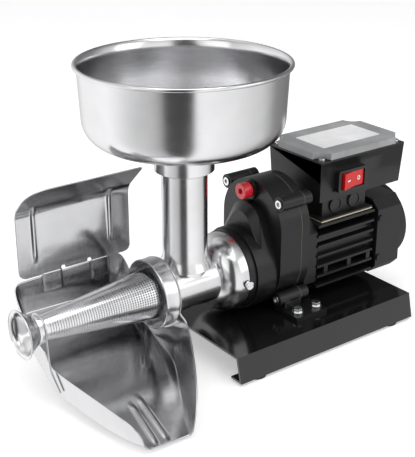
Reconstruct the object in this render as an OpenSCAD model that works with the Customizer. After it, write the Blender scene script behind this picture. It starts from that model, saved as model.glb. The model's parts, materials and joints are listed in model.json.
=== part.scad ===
// Electric milling strainer for fruit and tomatoes, built as separate parts.
// Design frame: the feed neck's axis is x = 0, y = 0, the base plate's top is z = 0,
// +X runs from the waste nozzle to the motor fan and -Y is the side of the spout and switch.
// on_table() then moves each part into the row frame, whose origin is on the table
// under the middle of the whole machine.

/* [Base channel] */
// Length of the folded base
base_len = 265; // [230:1:330]
// Width of the base at its top
base_w = 203; // [180:1:240]
// Height of the folded base, without its feet
base_h = 29.5; // [22:0.5:45]
// Thickness of the base sheet
base_t = 2.5; // [2:0.1:4]
// How far each side leans out at its foot
base_splay = 6.8; // [0:0.1:12]
// Width of the turned-in lip under each side
base_lip = 18; // [14:0.5:26]
// Place of the base's front end along X
base_x0 = -4; // [-10:1:4]
// Radius of a rubber foot
foot_r = 12; // [8:0.5:13]
// Height of a rubber foot
foot_h = 3.5; // [3:0.5:10]
// Distance from each base end to its feet
foot_inset = 30; // [20:1:50]

/* [Gear train] */
// Height of the output axis above the base plate
output_z = 50; // [49:0.5:60]
// Gear module of both stages
gear_module = 1.25; // [1.2:0.01:1.3]
// Teeth on the motor pinion
motor_pinion_teeth = 14; // [13:1:16]
// Teeth on the first countershaft gear
counter_gear_teeth = 58; // [54:1:60]
// Teeth on the countershaft pinion
counter_pinion_teeth = 16; // [15:1:18]
// Teeth on the output gear
output_gear_teeth = 64; // [60:1:66]
// Width of the output gear
output_gear_w = 11; // [8:0.5:12]
// Width of the first countershaft gear
counter_gear_w = 8; // [6:0.5:9]
// Radius of the motor shaft and the countershaft
small_shaft_r = 6; // [5:0.5:7]
// Radius of the output shaft
output_shaft_r = 10; // [8:0.5:12]

/* [Gear housing] */
// Outer radius of the gear housing's round ends
housing_r = 53; // [51:0.5:56]
// Wall of the gear housing
housing_wall = 4; // [3:0.5:5]
// Front face of the gear housing along X
housing_x0 = 95; // [94:0.5:96]
// Length of the gear housing
housing_len = 31; // [30.5:0.5:36]
// Thickness of the gasket behind the housing
gasket_t = 0.8; // [0.5:0.1:1.5]
// Thickness of the gear back plate
back_plate_t = 11.2; // [11:0.1:13]
// Half the distance between case screws across the machine
case_screw_y = 47.4; // [46:0.1:49]
// Half the distance between case screws up the machine
case_screw_z = 59.2; // [58:0.1:61]
// Radius of a case screw boss
case_boss_r = 8.5; // [7.5:0.1:9.5]
// Radius of a case screw's shank
case_screw_r = 3; // [2.5:0.1:3.5]
// Radius of the spigot that the strainer head fits over
nose_r = 43.2; // [42:0.1:43.4]
// Front end of the nose ring's flange along X
nose_x = 57; // [56:0.5:58]
// Radius of the oil plug's head
oil_plug_r = 9.3; // [8:0.1:10]
// How far the oil plug's head stands out
oil_plug_h = 12; // [8:0.5:16]

/* [Motor] */
// Half the width of the motor frame over its fins
motor_half = 48; // [46:0.5:50]
// Radius of the frame's core behind the fins
motor_core_r = 41.5; // [41:0.1:43]
// Bore of the frame, which holds the stator
motor_bore_r = 38.5; // [37:0.1:39.5]
// Length of the plain front end of the frame
motor_plain_len = 19; // [12:1:26]
// Length of the finned stretch of the frame
motor_fin_len = 105; // [90:1:115]
// Number of cooling fins on each side
fin_count = 7; // [5:1:8]
// Thickness of a cooling fin
fin_t = 3; // [2:0.5:4]
// Length of the stator core
stator_len = 70; // [50:1:72]
// Outer radius of the rotor
rotor_r = 22.2; // [20:0.1:24]
// Air gap between rotor and stator
air_gap = 0.3; // [0.25:0.05:0.6]
// Length of the fan cover
fan_cover_len = 55; // [50:1:62]
// Wall of the fan cover
fan_cover_wall = 2; // [1.5:0.1:3]
// Number of blades on the cooling fan
fan_blades = 8; // [5:1:10]

/* [Terminal box] */
// Length of the terminal box at its underside
box_len = 130; // [120:1:140]
// Width of the terminal box at its underside
box_w = 86; // [80:1:90]
// Height of the terminal box under its lid
box_h = 48; // [46:0.2:60]
// How far each wall of the terminal box leans out over its height
box_draft = 2.5; // [0:0.1:4]
// Wall of the terminal box
box_wall = 3; // [2:0.1:4]
// Place of the box's front end along X
box_x0 = 161; // [158:1:164]
// Height of the box's underside above the base plate
box_z0 = 121.5; // [120:0.5:126]
// Height of the lid, with its raised part
lid_raise = 10; // [5:0.5:12]
// Side of the screw recess in each lid corner
lid_notch = 15; // [12:0.5:18]
// Width of the switch's rubber frame
switch_w = 46; // [42:1:50]
// Height of the switch's rubber frame
switch_h = 27; // [25:1:31]
// Width of the rocker
rocker_w = 36; // [32:0.5:38]
// Height of the rocker
rocker_h = 19.5; // [16:0.5:21]
// Travel of the rocker from off to on, in degrees
rocker_travel = 18; // [10:1:22]
// Bore of the mains inlet gland
gland_bore_r = 4; // [3:0.1:5]
// Length of the mains inlet gland
gland_len = 26; // [20:1:32]

/* [Feed bowl] */
// Radius of the bowl over its rolled rim
bowl_r = 115; // [90:1:130]
// Radius of the rolled rim's bead
bead_r = 2.2; // [1.8:0.1:3.5]
// Height of the rim above the base plate
bowl_top_z = 304; // [285:1:330]
// Radius of the rounded lower edge of the bowl
bowl_corner_r = 28; // [20:1:40]
// Fall of the bowl's floor towards its outlet
bowl_dish = 4; // [2:0.5:10]
// Thickness of the bowl's sheet
bowl_t = 1.2; // [1:0.1:2]

/* [Strainer head] */
// Outer radius of the socket that holds the bowl
socket_r = 32.8; // [31:0.1:35]
// Height of the socket's rim above the base plate
socket_top_z = 214; // [200:1:222]
// Depth of the socket
socket_depth = 26; // [16:1:32]
// Outer radius of the feed neck
neck_r = 25.2; // [24:0.1:27]
// Wall of the feed neck
neck_wall = 3; // [2.5:0.1:4]
// Outer radius of the head tube
tube_r = 29; // [27:0.1:29.4]
// Bore radius of the head tube
tube_bore_r = 26.5; // [25:0.1:27]
// Front end of the head tube along X
tube_x0 = -42; // [-46:1:-40]
// Outer radius of the bell that fits over the nose ring
bell_r = 46; // [45.6:0.1:47.5]
// Length of the bell
bell_len = 28; // [26:0.5:32]

/* [Feed screw and sieve] */
// Radius of the feed screw in the head tube
screw_r = 26; // [24:0.1:26.2]
// Pitch of the feed screw's flight
screw_pitch = 38; // [30:1:48]
// Side of the square drive end
drive_side = 13.6; // [11:0.1:15]
// Clearance all round the square drive end
drive_gap = 0.2; // [0.1:0.05:0.4]
// Outer radius of the sieve at its large end
sieve_r0 = 28.4; // [27.5:0.1:29]
// Outer radius of the sieve at its small end
sieve_r1 = 13.7; // [12:0.1:15]
// Length of the sieve cone
sieve_len = 138; // [115:1:150]
// Thickness of the sieve sheet
sieve_t = 0.8; // [0.6:0.1:1.2]
// Outer radius of the sieve's holding ring
ring_r = 39.7; // [38.5:0.1:41]
// Width of the sieve's holding ring
ring_w = 18; // [14:0.5:22]
// Outer radius of the waste nozzle's mouth
nozzle_r = 27; // [22:0.5:30]
// Length of the waste nozzle's flare
nozzle_len = 19; // [14:0.5:22]

/* [Chute and splash guard] */
// Plane of the chute's front wall along X
chute_x0 = -185; // [-190:1:-184]
// Plane of the chute's rear wall along X
chute_x1 = -38; // [-40:0.5:-37]
// Plane of the chute's far wall along Y
chute_y1 = 61; // [58:1:68]
// Tip of the spout along Y
spout_y = -158; // [-190:1:-140]
// Height of the spout's floor at its tip
spout_z = -28.5; // [-29:0.5:-20]
// Width of the spout at its tip
spout_w = 46; // [36:1:56]
// Height of the chute's far wall
chute_far_z = 79; // [74:1:86]
// Thickness of the chute's sheet
chute_t = 1.2; // [1:0.1:2]
// Length of the splash guard
guard_len = 139; // [120:1:144]
// Height of the splash guard's upright part
guard_h = 77; // [55:1:90]
// Length of the splash guard's leaning flange
guard_flange = 46; // [25:1:50]
// Lean of the splash guard's flange from the upright, in degrees
guard_lean = 46; // [10:1:60]
// Width of each hook tab on the splash guard
guard_tab_w = 24; // [16:1:30]

/* [Clearances] */
// Gap between still parts that nest in each other
seat_gap = 0.05; // [0.02:0.01:0.1]
// Radial gap of a shaft in its bearing
run_gap = 0.05; // [0.02:0.01:0.1]
// Gap between parts that slide or turn past each other
free_gap = 0.3; // [0.25:0.05:0.5]
// Play between meshing teeth, along the pitch circle
tooth_play = 0.25; // [0.2:0.05:0.4]

/* [Hidden] */

$fn = 64;
hull_fn = 32;
hex_fn = 6;

black = "#1b1b1d";
dark = "#2c2c2f";
steel = "#c9cccf";
zinc = "#b9bdc0";
red = "#c8151b";
brass = "#b5893a";
copper = "#a8582c";
nylon = "#e8e6df";

// Heights of the machine
stand_h = base_h + foot_h;
stage_1 = gear_module * (motor_pinion_teeth + counter_gear_teeth) / 2;
stage_2 = gear_module * (counter_pinion_teeth + output_gear_teeth) / 2;
counter_z = output_z + stage_2;
motor_z = counter_z - stage_1;
case_mid_z = output_z + 27.5;

// Places along X
housing_x1 = housing_x0 + housing_len;
back_x0 = housing_x1 + gasket_t;
back_x1 = back_x0 + back_plate_t;
motor_x0 = back_x1;
fin_x0 = motor_x0 + motor_plain_len;
motor_x1 = fin_x0 + motor_fin_len;
shield_t = 8;
cover_lap = 8;
fan_x0 = motor_x1 - cover_lap;
fan_x1 = fan_x0 + fan_cover_len;
output_gear_x = housing_x0 + housing_wall + 3;
counter_gear_x = output_gear_x + output_gear_w + 2;
bearing_w = 9;
output_bearing_w = 11;
output_bearing_r = 21;
counter_bearing_r = 13;
counter_bearing_w = 7;
motor_bearing_r = 16;
stator_x = fin_x0 + (motor_fin_len - stator_len) / 2 - 10;
socket_x = nose_x - 12;
shaft_nose_r = 14;
socket_hole = drive_side + 2 * drive_gap;
rear_bearing_x = motor_x1 - bearing_w;
motor_shaft_x1 = fan_x1 - 20;

// Heights of the terminal box
platform_z = motor_z + 41.5;
gasket_2_t = 1.5;
pedestal_z = platform_z + gasket_2_t;
box_top_z = box_z0 + box_h;
lid_len = box_len + 2 * box_draft;
lid_w = box_w + 2 * box_draft;
lid_x0 = box_x0 - box_draft;
pedestal_x0 = box_x0 + 11;
pedestal_len = 70;
pedestal_w = 72;
switch_x = box_x0 + 43;
switch_z = box_z0 + 23;
switch_depth = 7;
pad_y = lid_w / 2;

// Places of the strainer head and what it carries
bell_x1 = nose_x;
bell_x0 = bell_x1 - bell_len;
socket_floor_z = socket_top_z - socket_depth;
socket_bore_r = socket_r - 2.3;
sheet_gap = 0.5;
sieve_x0 = tube_x0 - 2;
sieve_x1 = sieve_x0 - sieve_len;
ring_x1 = tube_x0 + 8;
ring_x0 = ring_x1 - ring_w;
nozzle_x1 = sieve_x1 - 6;
nozzle_x0 = nozzle_x1 - nozzle_len;
clip_r = 1;

// Extent of the whole machine, which sets the row frame
row_x = (nozzle_x0 + fan_x1) / 2;
row_y = (spout_y + bowl_r) / 2;

// ---------- helpers ----------

// Moves a part from the design frame into the row frame
module on_table() {
    translate([-row_x, -row_y, stand_h])
        children();
}

// A cylinder or cone along X from x0 to x1
module rod_x(x0, x1, r, r_end = -1, z = output_z, y = 0) {
    translate([x0, y, z])
        rotate([0, 90, 0])
            cylinder(h = x1 - x0, r1 = r, r2 = r_end < 0 ? r : r_end);
}

// A tube along X
module tube_x(x0, x1, r, bore, z = output_z, y = 0) {
    difference() {
        rod_x(x0, x1, r, z = z, y = y);
        rod_x(x0 - 1, x1 + 1, bore, z = z, y = y);
    }
}

// Extrudes a YZ outline from x0 to x1
module slab_x(x0, x1) {
    translate([x0, 0, 0])
        rotate([90, 0, 90])
            linear_extrude(height = x1 - x0)
                children();
}

// Turns a profile of radius against X about the axis at height z
module lathe_x(points, z = output_z) {
    translate([0, 0, z])
        rotate([0, 90, 0])
            rotate_extrude()
                polygon(points);
}

// Block between two corners
module block(low, high) {
    translate(low)
        cube(high - low);
}

// Upright post
module post(x, y, z0, z1, r) {
    translate([x, y, z0])
        cylinder(h = z1 - z0, r = r);
}

// Rod along Y
module rod_y(x, z, y0, y1, r) {
    translate([x, y1, z])
        rotate([90, 0, 0])
            cylinder(h = y1 - y0, r = r);
}

// Outline of the gear housing, inset by a wall
module case_outline(inset = 0) {
    r = housing_r - inset;
    low = output_z + 7;
    translate([0, low])
        circle(r);
    translate([0, counter_z])
        circle(r);
    translate([-r, low])
        square([2 * r, counter_z - low]);
}

// A square with cut corners, centred on the motor axis
module cut_square(half, cut) {
    translate([0, motor_z])
        polygon([
            [half, half - cut], [half - cut, half], [cut - half, half], [-half, half - cut],
            [-half, cut - half], [cut - half, -half], [half - cut, -half], [half, cut - half]
        ]);
}

// Rounded rectangle with true arcs
module round_rect(size, r) {
    translate([r, 0])
        square([size[0] - 2 * r, size[1]]);
    translate([0, r])
        square([size[0], size[1] - 2 * r]);
    for (x = [r, size[0] - r], y = [r, size[1] - r])
        translate([x, y])
            circle(r);
}

// Socket-head screw pointing along +X, with its head's face at x
module cap_screw_x(x, y, z, r, length, head_r, head_h) {
    difference() {
        union() {
            rod_x(x, x + head_h, head_r, z = z, y = y);
            rod_x(x + head_h, x + length, r, z = z, y = y);
        }
        translate([x - 1, y, z])
            rotate([0, 90, 0])
                cylinder(h = 1 + head_h * 0.6, r = head_r * 0.55, $fn = hex_fn);
    }
}

// The four case screw places
module at_case_screws() {
    for (y = [-case_screw_y, case_screw_y], z = [-case_screw_z, case_screw_z])
        translate([0, y, case_mid_z + z])
            children();
}

// ---------- gear teeth ----------

pressure_angle = 25;
tooth_steps = 4;

function involute(a) = tan(a) * 180 / PI - a;

// Half the angle that a tooth fills at radius r
function tooth_half(r, teeth) =
    let (pitch_r = gear_module * teeth / 2,
         base_r = pitch_r * cos(pressure_angle),
         play = tooth_play / 4 / pitch_r * 180 / PI,
         a = acos(min(1, base_r / r)))
    90 / teeth - play + involute(pressure_angle) - involute(a);

function polar(r, a) = [r * cos(a), r * sin(a)];

function tooth_points(teeth, a) =
    let (pitch_r = gear_module * teeth / 2,
         root = pitch_r - 1.2 * gear_module,
         tip = pitch_r + 0.95 * gear_module,
         low = max(root + 0.05, pitch_r * cos(pressure_angle) + 0.01),
         radii = [for (i = [0 : tooth_steps]) low + (tip - low) * i / tooth_steps])
    concat(
        [polar(root, a - tooth_half(low, teeth))],
        [for (r = radii) polar(r, a - tooth_half(r, teeth))],
        [for (i = [tooth_steps : -1 : 0]) polar(radii[i], a + tooth_half(radii[i], teeth))],
        [polar(root, a + tooth_half(low, teeth))]
    );

// Gear along X whose first tooth points at angle a from +Z
module gear_x(x0, x1, teeth, z, a, bore) {
    difference() {
        translate([x0, 0, z])
            rotate([0, 90, 0])
                rotate([0, 0, 180 + a])
                    linear_extrude(height = x1 - x0)
                        polygon([for (i = [0 : teeth - 1]) each tooth_points(teeth, 360 * i / teeth)]);
        rod_x(x0 - 1, x1 + 1, bore, z = z);
    }
}

// Web recess and lightening holes of a large gear
module gear_web_cuts(x0, x1, z, rim_r, hub_r, holes) {
    depth = (x1 - x0) * 0.25;
    for (x = [x0 - 1, x1 - depth])
        tube_x(x, x + depth + 1, rim_r, hub_r, z = z);
    for (i = [1 : holes]) {
        p = polar((rim_r + hub_r) / 2, 360 * i / holes);
        rod_x(x0 - 1, x1 + 1, (rim_r - hub_r) * 0.3, z = z + p[1], y = p[0]);
    }
}

// ---------- base ----------

foot_places = [for (x = [base_x0 + foot_inset, base_x0 + base_len - foot_inset], s = [-1, 1])
    [x, s * (base_w / 2 + base_splay - base_t - base_lip / 2 - 1)]];
mount_places = [for (x = [housing_x0 + 17, housing_x0 + 45], s = [-1, 1]) [x, s * 66]];
foot_hole_r = 2.2;
mount_hole_r = 3.3;
mount_screw_r = 3;
mount_pad_h = 5;

module base_channel() {
    half = base_w / 2;
    low = half + base_splay;
    color(black) on_table() difference() {
        slab_x(base_x0, base_x0 + base_len)
            polygon([
                [-half, 0], [half, 0], [low, -base_h], [low - base_lip, -base_h],
                [low - base_lip, base_t - base_h], [low - base_t - 0.6, base_t - base_h],
                [half - base_t, -base_t], [base_t - half, -base_t],
                [base_t + 0.6 - low, base_t - base_h], [base_lip - low, base_t - base_h],
                [base_lip - low, -base_h], [-low, -base_h]
            ]);
        for (p = foot_places)
            post(p[0], p[1], -base_h - 1, base_t - base_h + 1, foot_hole_r);
        for (p = mount_places)
            post(p[0], p[1], -base_t - 1, 1, mount_hole_r);
    }
}

module rubber_feet() {
    color(dark) on_table() for (p = foot_places) difference() {
        post(p[0], p[1], -stand_h, -base_h, foot_r);
        post(p[0], p[1], -stand_h - 1, -base_h + 1, foot_hole_r);
        post(p[0], p[1], -stand_h - 1, -stand_h + foot_h * 0.6, 4.5);
    }
}

module foot_screws() {
    head_z = -stand_h + foot_h * 0.6;
    color(zinc) on_table() for (p = foot_places) {
        post(p[0], p[1], head_z - 1.5, head_z, 4);
        post(p[0], p[1], head_z, base_t - base_h + 6, foot_hole_r - seat_gap);
    }
}

module foot_nuts() {
    color(zinc) on_table() for (p = foot_places) difference() {
        translate([p[0], p[1], base_t - base_h])
            cylinder(h = 3.2, r = 4, $fn = hex_fn);
        post(p[0], p[1], base_t - base_h - 1, base_t - base_h + 5, foot_hole_r);
    }
}

washer_t = 1.6;

module mounting_bolts() {
    head_z = mount_pad_h + washer_t;
    color(zinc) on_table() for (p = mount_places) {
        translate([p[0], p[1], head_z])
            cylinder(h = 4, r = 5.5, $fn = hex_fn);
        post(p[0], p[1], -base_t - 9, head_z, mount_screw_r);
    }
}

module mounting_washers() {
    color(zinc) on_table() for (p = mount_places) difference() {
        post(p[0], p[1], mount_pad_h, mount_pad_h + washer_t, 6.8);
        post(p[0], p[1], mount_pad_h - 1, mount_pad_h + washer_t + 1, mount_hole_r);
    }
}

module mounting_nuts() {
    color(zinc) on_table() for (p = mount_places) difference() {
        translate([p[0], p[1], -base_t - 5])
            cylinder(h = 5, r = 5.5, $fn = hex_fn);
        post(p[0], p[1], -base_t - 8, -base_t + 1, mount_screw_r + seat_gap);
    }
}

// ---------- gear housing ----------

hump_x0 = housing_x0 - 17;
hump_top_r = 22;
output_ring_r = output_z - 0.6;
plug_y = 2;
plug_z = counter_z + 41;
case_hole_r = case_screw_r + 0.3;

// Solid form of the hump between the output nose and the countershaft bearing
module hump() {
    hull() {
        rod_x(hump_x0, hump_x0 + 1, 46, z = output_z, $fn = hull_fn);
        rod_x(hump_x0, hump_x0 + 1, hump_top_r - 4, z = counter_z, $fn = hull_fn);
        rod_x(housing_x0 - 9, housing_x0 + 1, output_ring_r, z = output_z, $fn = hull_fn);
        rod_x(housing_x0 - 9, housing_x0 + 1, hump_top_r + 6, z = counter_z, $fn = hull_fn);
    }
}

// Cast foot on one side, s = -1 or 1
module case_foot(s) {
    x0 = housing_x0 + 6;
    x1 = housing_x0 + 52;
    y0 = min(s * 46, s * 78);
    block([x0, y0, 0], [x1, y0 + 32, mount_pad_h]);
    block([x0, min(s * 37, s * 56), 0], [housing_x1, min(s * 37, s * 56) + 19, 16]);
}

module gear_housing() {
    color(black) on_table() difference() {
        union() {
            slab_x(housing_x0, housing_x1)
                case_outline();
            hump();
            rod_x(nose_x + 9, housing_x0, output_ring_r);
            at_case_screws()
                rod_x(housing_x0, housing_x1, case_boss_r, z = 0);
            for (s = [-1, 1])
                case_foot(s);
            rod_x(housing_x0 - 4, housing_x0 + 1, oil_plug_r + 2.5, z = plug_z, y = plug_y);
        }
        slab_x(housing_x0 + housing_wall, housing_x1 + 1)
            case_outline(housing_wall);
        rod_x(nose_x, housing_x0 + housing_wall + 1, output_shaft_r + 4);
        rod_x(housing_x0 + housing_wall - 13, housing_x0 + housing_wall + 1, output_bearing_r);
        rod_x(nose_x, nose_x + 13, 30);
        rod_x(housing_x0 + housing_wall - counter_bearing_w, housing_x0 + housing_wall + 1,
            counter_bearing_r, z = counter_z);
        rod_x(housing_x0 - 6, housing_x0 + housing_wall + 1, 5.5, z = plug_z, y = plug_y);
        at_case_screws()
            rod_x(housing_x0 - 1, housing_x1 + 1, case_hole_r, z = 0);
        at_case_screws()
            rod_x(housing_x0 - 1, housing_x0 + 1.5, 5.6, z = 0);
        for (p = mount_places)
            post(p[0], p[1], -1, mount_pad_h + 1, mount_hole_r);
    }
}

module case_gasket() {
    color("#5b5348") on_table() difference() {
        union() {
            slab_x(housing_x1, back_x0)
                case_outline();
            at_case_screws()
                rod_x(housing_x1, back_x0, case_boss_r, z = 0);
        }
        slab_x(housing_x1 - 1, back_x0 + 1)
            case_outline(housing_wall);
        at_case_screws()
            rod_x(housing_x1 - 1, back_x0 + 1, case_hole_r, z = 0);
    }
}

module gear_back_plate() {
    color(black) on_table() difference() {
        union() {
            slab_x(back_x0, back_x1)
                case_outline();
            at_case_screws()
                rod_x(back_x0, back_x1, case_boss_r, z = 0);
        }
        rod_x(back_x0 - 1, back_x1 + 1, 11, z = motor_z);
        rod_x(back_x1 - bearing_w, back_x1 + 1, motor_bearing_r, z = motor_z);
        rod_x(back_x0 - 1, back_x0 + counter_bearing_w, counter_bearing_r, z = counter_z);
        at_case_screws()
            rod_x(back_x0 - 1, back_x1 + 1, case_screw_r + seat_gap, z = 0);
    }
}

module case_screws() {
    color(zinc) on_table() at_case_screws()
        cap_screw_x(housing_x0 - 1.5, 0, 0, case_screw_r, back_x1 - housing_x0, 5, 3);
}

module oil_plug() {
    x = housing_x0 - 4;
    color(red) on_table() difference() {
        union() {
            rod_x(x - oil_plug_h, x, oil_plug_r, z = plug_z, y = plug_y);
            rod_x(x, x + 10, 5.5 - seat_gap, z = plug_z, y = plug_y);
        }
        translate([x - oil_plug_h - 1, plug_y, plug_z])
            rotate([0, 90, 0])
                cylinder(h = 7, r = 3.6, $fn = hex_fn);
    }
}

lock_r = 3;
lock_x = nose_x - 4;

module nose_ring() {
    color(black) on_table() difference() {
        union() {
            rod_x(bell_x1 - 8, nose_x, nose_r);
            rod_x(nose_x, nose_x + 9, 47);
            rod_x(nose_x + 9, nose_x + 13, 30 - seat_gap);
        }
        rod_x(bell_x1 - 10, nose_x + 14, output_shaft_r + 6.5);
        rod_x(nose_x + 1, nose_x + 14, output_bearing_r);
        rod_y(lock_x, output_z, -nose_r - 5, 0, lock_r + 2 * run_gap);
    }
}

// ---------- shafts, gears and bearings ----------

// Ball bearing drawn as its two rings, its balls and the groove they run in
module bearing_x(x0, w, r, bore, z) {
    mid = (r + bore) / 2;
    ball = (r - bore) * 0.27;
    difference() {
        tube_x(x0, x0 + w, r - seat_gap, bore + run_gap, z = z);
        for (x = [x0 - 1, x0 + w - w * 0.12])
            tube_x(x, x + w * 0.12 + 1, mid + ball * 0.7, mid - ball * 0.7, z = z);
    }
}

module output_seal() {
    color("#202124") on_table()
        tube_x(bell_x1 - 7, bell_x1 + 1, output_shaft_r + 6.5 - seat_gap, shaft_nose_r + run_gap);
}

module output_bearings() {
    color(steel) on_table() {
        bearing_x(nose_x + 1.5, output_bearing_w, output_bearing_r, output_shaft_r, output_z);
        bearing_x(housing_x0 + housing_wall - 12.5, output_bearing_w, output_bearing_r,
            output_shaft_r, output_z);
    }
}

module output_shaft() {
    color(steel) on_table() difference() {
        union() {
            rod_x(socket_x, nose_x + 1, shaft_nose_r);
            rod_x(nose_x + 1, output_gear_x + output_gear_w + 0.5, output_shaft_r);
        }
        block([socket_x - 1, -socket_hole / 2, output_z - socket_hole / 2],
            [socket_x + 17, socket_hole / 2, output_z + socket_hole / 2]);
    }
}

module output_gear() {
    x1 = output_gear_x + output_gear_w;
    pitch_r = gear_module * output_gear_teeth / 2;
    color(steel) on_table() difference() {
        gear_x(output_gear_x, x1, output_gear_teeth, output_z, 180 / output_gear_teeth,
            output_shaft_r + seat_gap);
        gear_web_cuts(output_gear_x, x1, output_z, pitch_r - 6, output_shaft_r + 6, 5);
    }
}

module counter_shaft() {
    x0 = housing_x0 + housing_wall - counter_bearing_w;
    color(steel) on_table() union() {
        rod_x(x0, back_x0 + counter_bearing_w - 0.5, small_shaft_r, z = counter_z);
        gear_x(output_gear_x - 0.5, output_gear_x + output_gear_w + 0.5, counter_pinion_teeth,
            counter_z, 180, small_shaft_r);
    }
}

module counter_gear() {
    x1 = counter_gear_x + counter_gear_w;
    pitch_r = gear_module * counter_gear_teeth / 2;
    color(brass) on_table() difference() {
        gear_x(counter_gear_x, x1, counter_gear_teeth, counter_z, 180 + 180 / counter_gear_teeth,
            small_shaft_r + seat_gap);
        gear_web_cuts(counter_gear_x, x1, counter_z, pitch_r - 5, small_shaft_r + 6, 5);
    }
}

module counter_bearings() {
    color(steel) on_table() {
        bearing_x(housing_x0 + housing_wall - counter_bearing_w, counter_bearing_w - 0.5,
            counter_bearing_r, small_shaft_r, counter_z);
        bearing_x(back_x0 + 0.5, counter_bearing_w - 0.5, counter_bearing_r, small_shaft_r, counter_z);
    }
}

pinion_bore_r = small_shaft_r - 1.5;

module motor_pinion() {
    color(steel) on_table()
        gear_x(counter_gear_x - 0.5, counter_gear_x + counter_gear_w + 1, motor_pinion_teeth,
            motor_z, 0, pinion_bore_r + seat_gap);
}

module motor_shaft() {
    pinion_end = counter_gear_x + counter_gear_w + 1;
    color(steel) on_table() {
        rod_x(counter_gear_x, pinion_end, pinion_bore_r, z = motor_z);
        rod_x(pinion_end, motor_shaft_x1, small_shaft_r, z = motor_z);
    }
}

module motor_bearings() {
    color(steel) on_table() {
        bearing_x(back_x1 - bearing_w, bearing_w - 0.5, motor_bearing_r, small_shaft_r, motor_z);
        bearing_x(rear_bearing_x, bearing_w - 0.5, motor_bearing_r, small_shaft_r, motor_z);
    }
}

// ---------- motor ----------

module rotor_core() {
    color("#8d9094") on_table()
        tube_x(stator_x - 2, stator_x + stator_len + 2, rotor_r, small_shaft_r + seat_gap, z = motor_z);
}

module stator_core() {
    slots = 24;
    bore = rotor_r + air_gap;
    color("#6f7378") on_table() difference() {
        tube_x(stator_x, stator_x + stator_len, motor_bore_r - seat_gap, bore, z = motor_z);
        for (i = [1 : slots]) {
            p = polar(bore + 5, 360 * i / slots);
            rod_x(stator_x - 1, stator_x + stator_len + 1, 1.8, z = motor_z + p[1], y = p[0]);
        }
    }
}

module stator_winding() {
    color(copper) on_table() for (x = [stator_x - 12, stator_x + stator_len])
        tube_x(x, x + 12, motor_bore_r - 5, rotor_r + 3, z = motor_z);
}

fin_pitch = (2 * motor_half - 19) / (fin_count - 1);
fin_z0 = motor_z - motor_half + 10;
fin_x1 = fan_x0 - 6;
platform_x0 = fin_x0 + 7;
platform_x1 = fan_x0 - 8;

module motor_frame() {
    color(black) on_table() difference() {
        union() {
            slab_x(motor_x0, fin_x0)
                cut_square(motor_half - 2, 15);
            rod_x(fin_x0, motor_x1, motor_core_r, z = motor_z);
            for (i = [0 : fin_count - 1])
                block([fin_x0, -motor_half, fin_z0 + i * fin_pitch - fin_t / 2],
                    [fin_x1, motor_half, fin_z0 + i * fin_pitch + fin_t / 2]);
            block([platform_x0, -45, motor_z + 36], [platform_x1, 45, platform_z]);
            slab_x(fan_x0 + 0.5, motor_x1)
                cut_square(cover_half - fan_cover_wall - seat_gap, cover_cut);
            for (s = [-1, 1], x = [fin_x0 + 12, fin_x0 + 50, fin_x0 + 82])
                block([x, min(s * 42, s * 47), fin_z0 + fin_pitch],
                    [x + 6, min(s * 42, s * 47) + 5, fin_z0 + 2 * fin_pitch]);
        }
        rod_x(motor_x0 - 1, motor_x1 + 1, motor_bore_r, z = motor_z);
        for (s = [-1, 1], z = [-1, 1])
            rod_y(cover_screw_x, motor_z + z * 26, min(s * 60, s * 40), min(s * 60, s * 40) + 20, 2.2);
        post(pedestal_x0 + pedestal_len / 2, 0, motor_z + 30, platform_z + 1, 8);
    }
}

module rear_shield() {
    color(black) on_table() difference() {
        union() {
            rod_x(motor_x1 - shield_t, motor_x1, motor_bore_r - seat_gap, z = motor_z);
            rod_x(rear_bearing_x - 3, motor_x1, motor_bearing_r + 4, z = motor_z);
        }
        rod_x(rear_bearing_x, motor_x1 - 0.5, motor_bearing_r, z = motor_z);
        rod_x(rear_bearing_x - 4, motor_x1 + 1, small_shaft_r + 3, z = motor_z);
    }
}

fan_r = motor_half - 7;
blade_turn = 0.3;

module cooling_fan() {
    x0 = motor_x1 + 4;
    x1 = motor_shaft_x1 - 1;
    color("#3a3b3e") on_table() difference() {
        union() {
            rod_x(x0, x1, small_shaft_r + 5, z = motor_z);
            rod_x(x0, x0 + 2.5, fan_r - 4, z = motor_z);
            for (i = [1 : fan_blades])
                translate([x0, 0, motor_z])
                    rotate([360 * (i + blade_turn) / fan_blades, 0, 0])
                        block([1, -1, small_shaft_r + 3], [x1 - x0 - 1, 1, fan_r]);
        }
        rod_x(x0 - 1, x1 + 1, small_shaft_r + seat_gap, z = motor_z);
    }
}

cover_half = motor_half + 0.7;
round_end = 15;
cover_cut = 11.5;
cover_screw_x = fan_x0 + cover_lap / 2 + 0.5;

module fan_cover() {
    wall = fan_cover_wall;
    color(black) on_table() difference() {
        union() {
            slab_x(fan_x0, fan_x1 - round_end)
                cut_square(cover_half, cover_cut);
            rod_x(fan_x1 - round_end, fan_x1 - 3, cover_half, z = motor_z);
            rod_x(fan_x1 - 3, fan_x1, cover_half, r_end = cover_half - 3, z = motor_z);
        }
        slab_x(fan_x0 - 1, fan_x1 - round_end - wall)
            cut_square(cover_half - wall, cover_cut);
        rod_x(fan_x0 - 1, fan_x1 - wall, cover_half - wall - 1, z = motor_z);
        for (ring = [12 : 7 : 40], i = [0 : 5])
            translate([fan_x1 - 4, 0, motor_z])
                rotate([60 * i, 0, 0])
                    rotate([0, 90, 0])
                        rotate_extrude(angle = 46)
                            translate([ring, 0])
                                square([4, 6]);
        for (s = [-1, 1], z = [-1, 1])
            rod_y(cover_screw_x, motor_z + z * 26, min(s * 60, s * 40), min(s * 60, s * 40) + 20, 2.2);
    }
}

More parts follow.
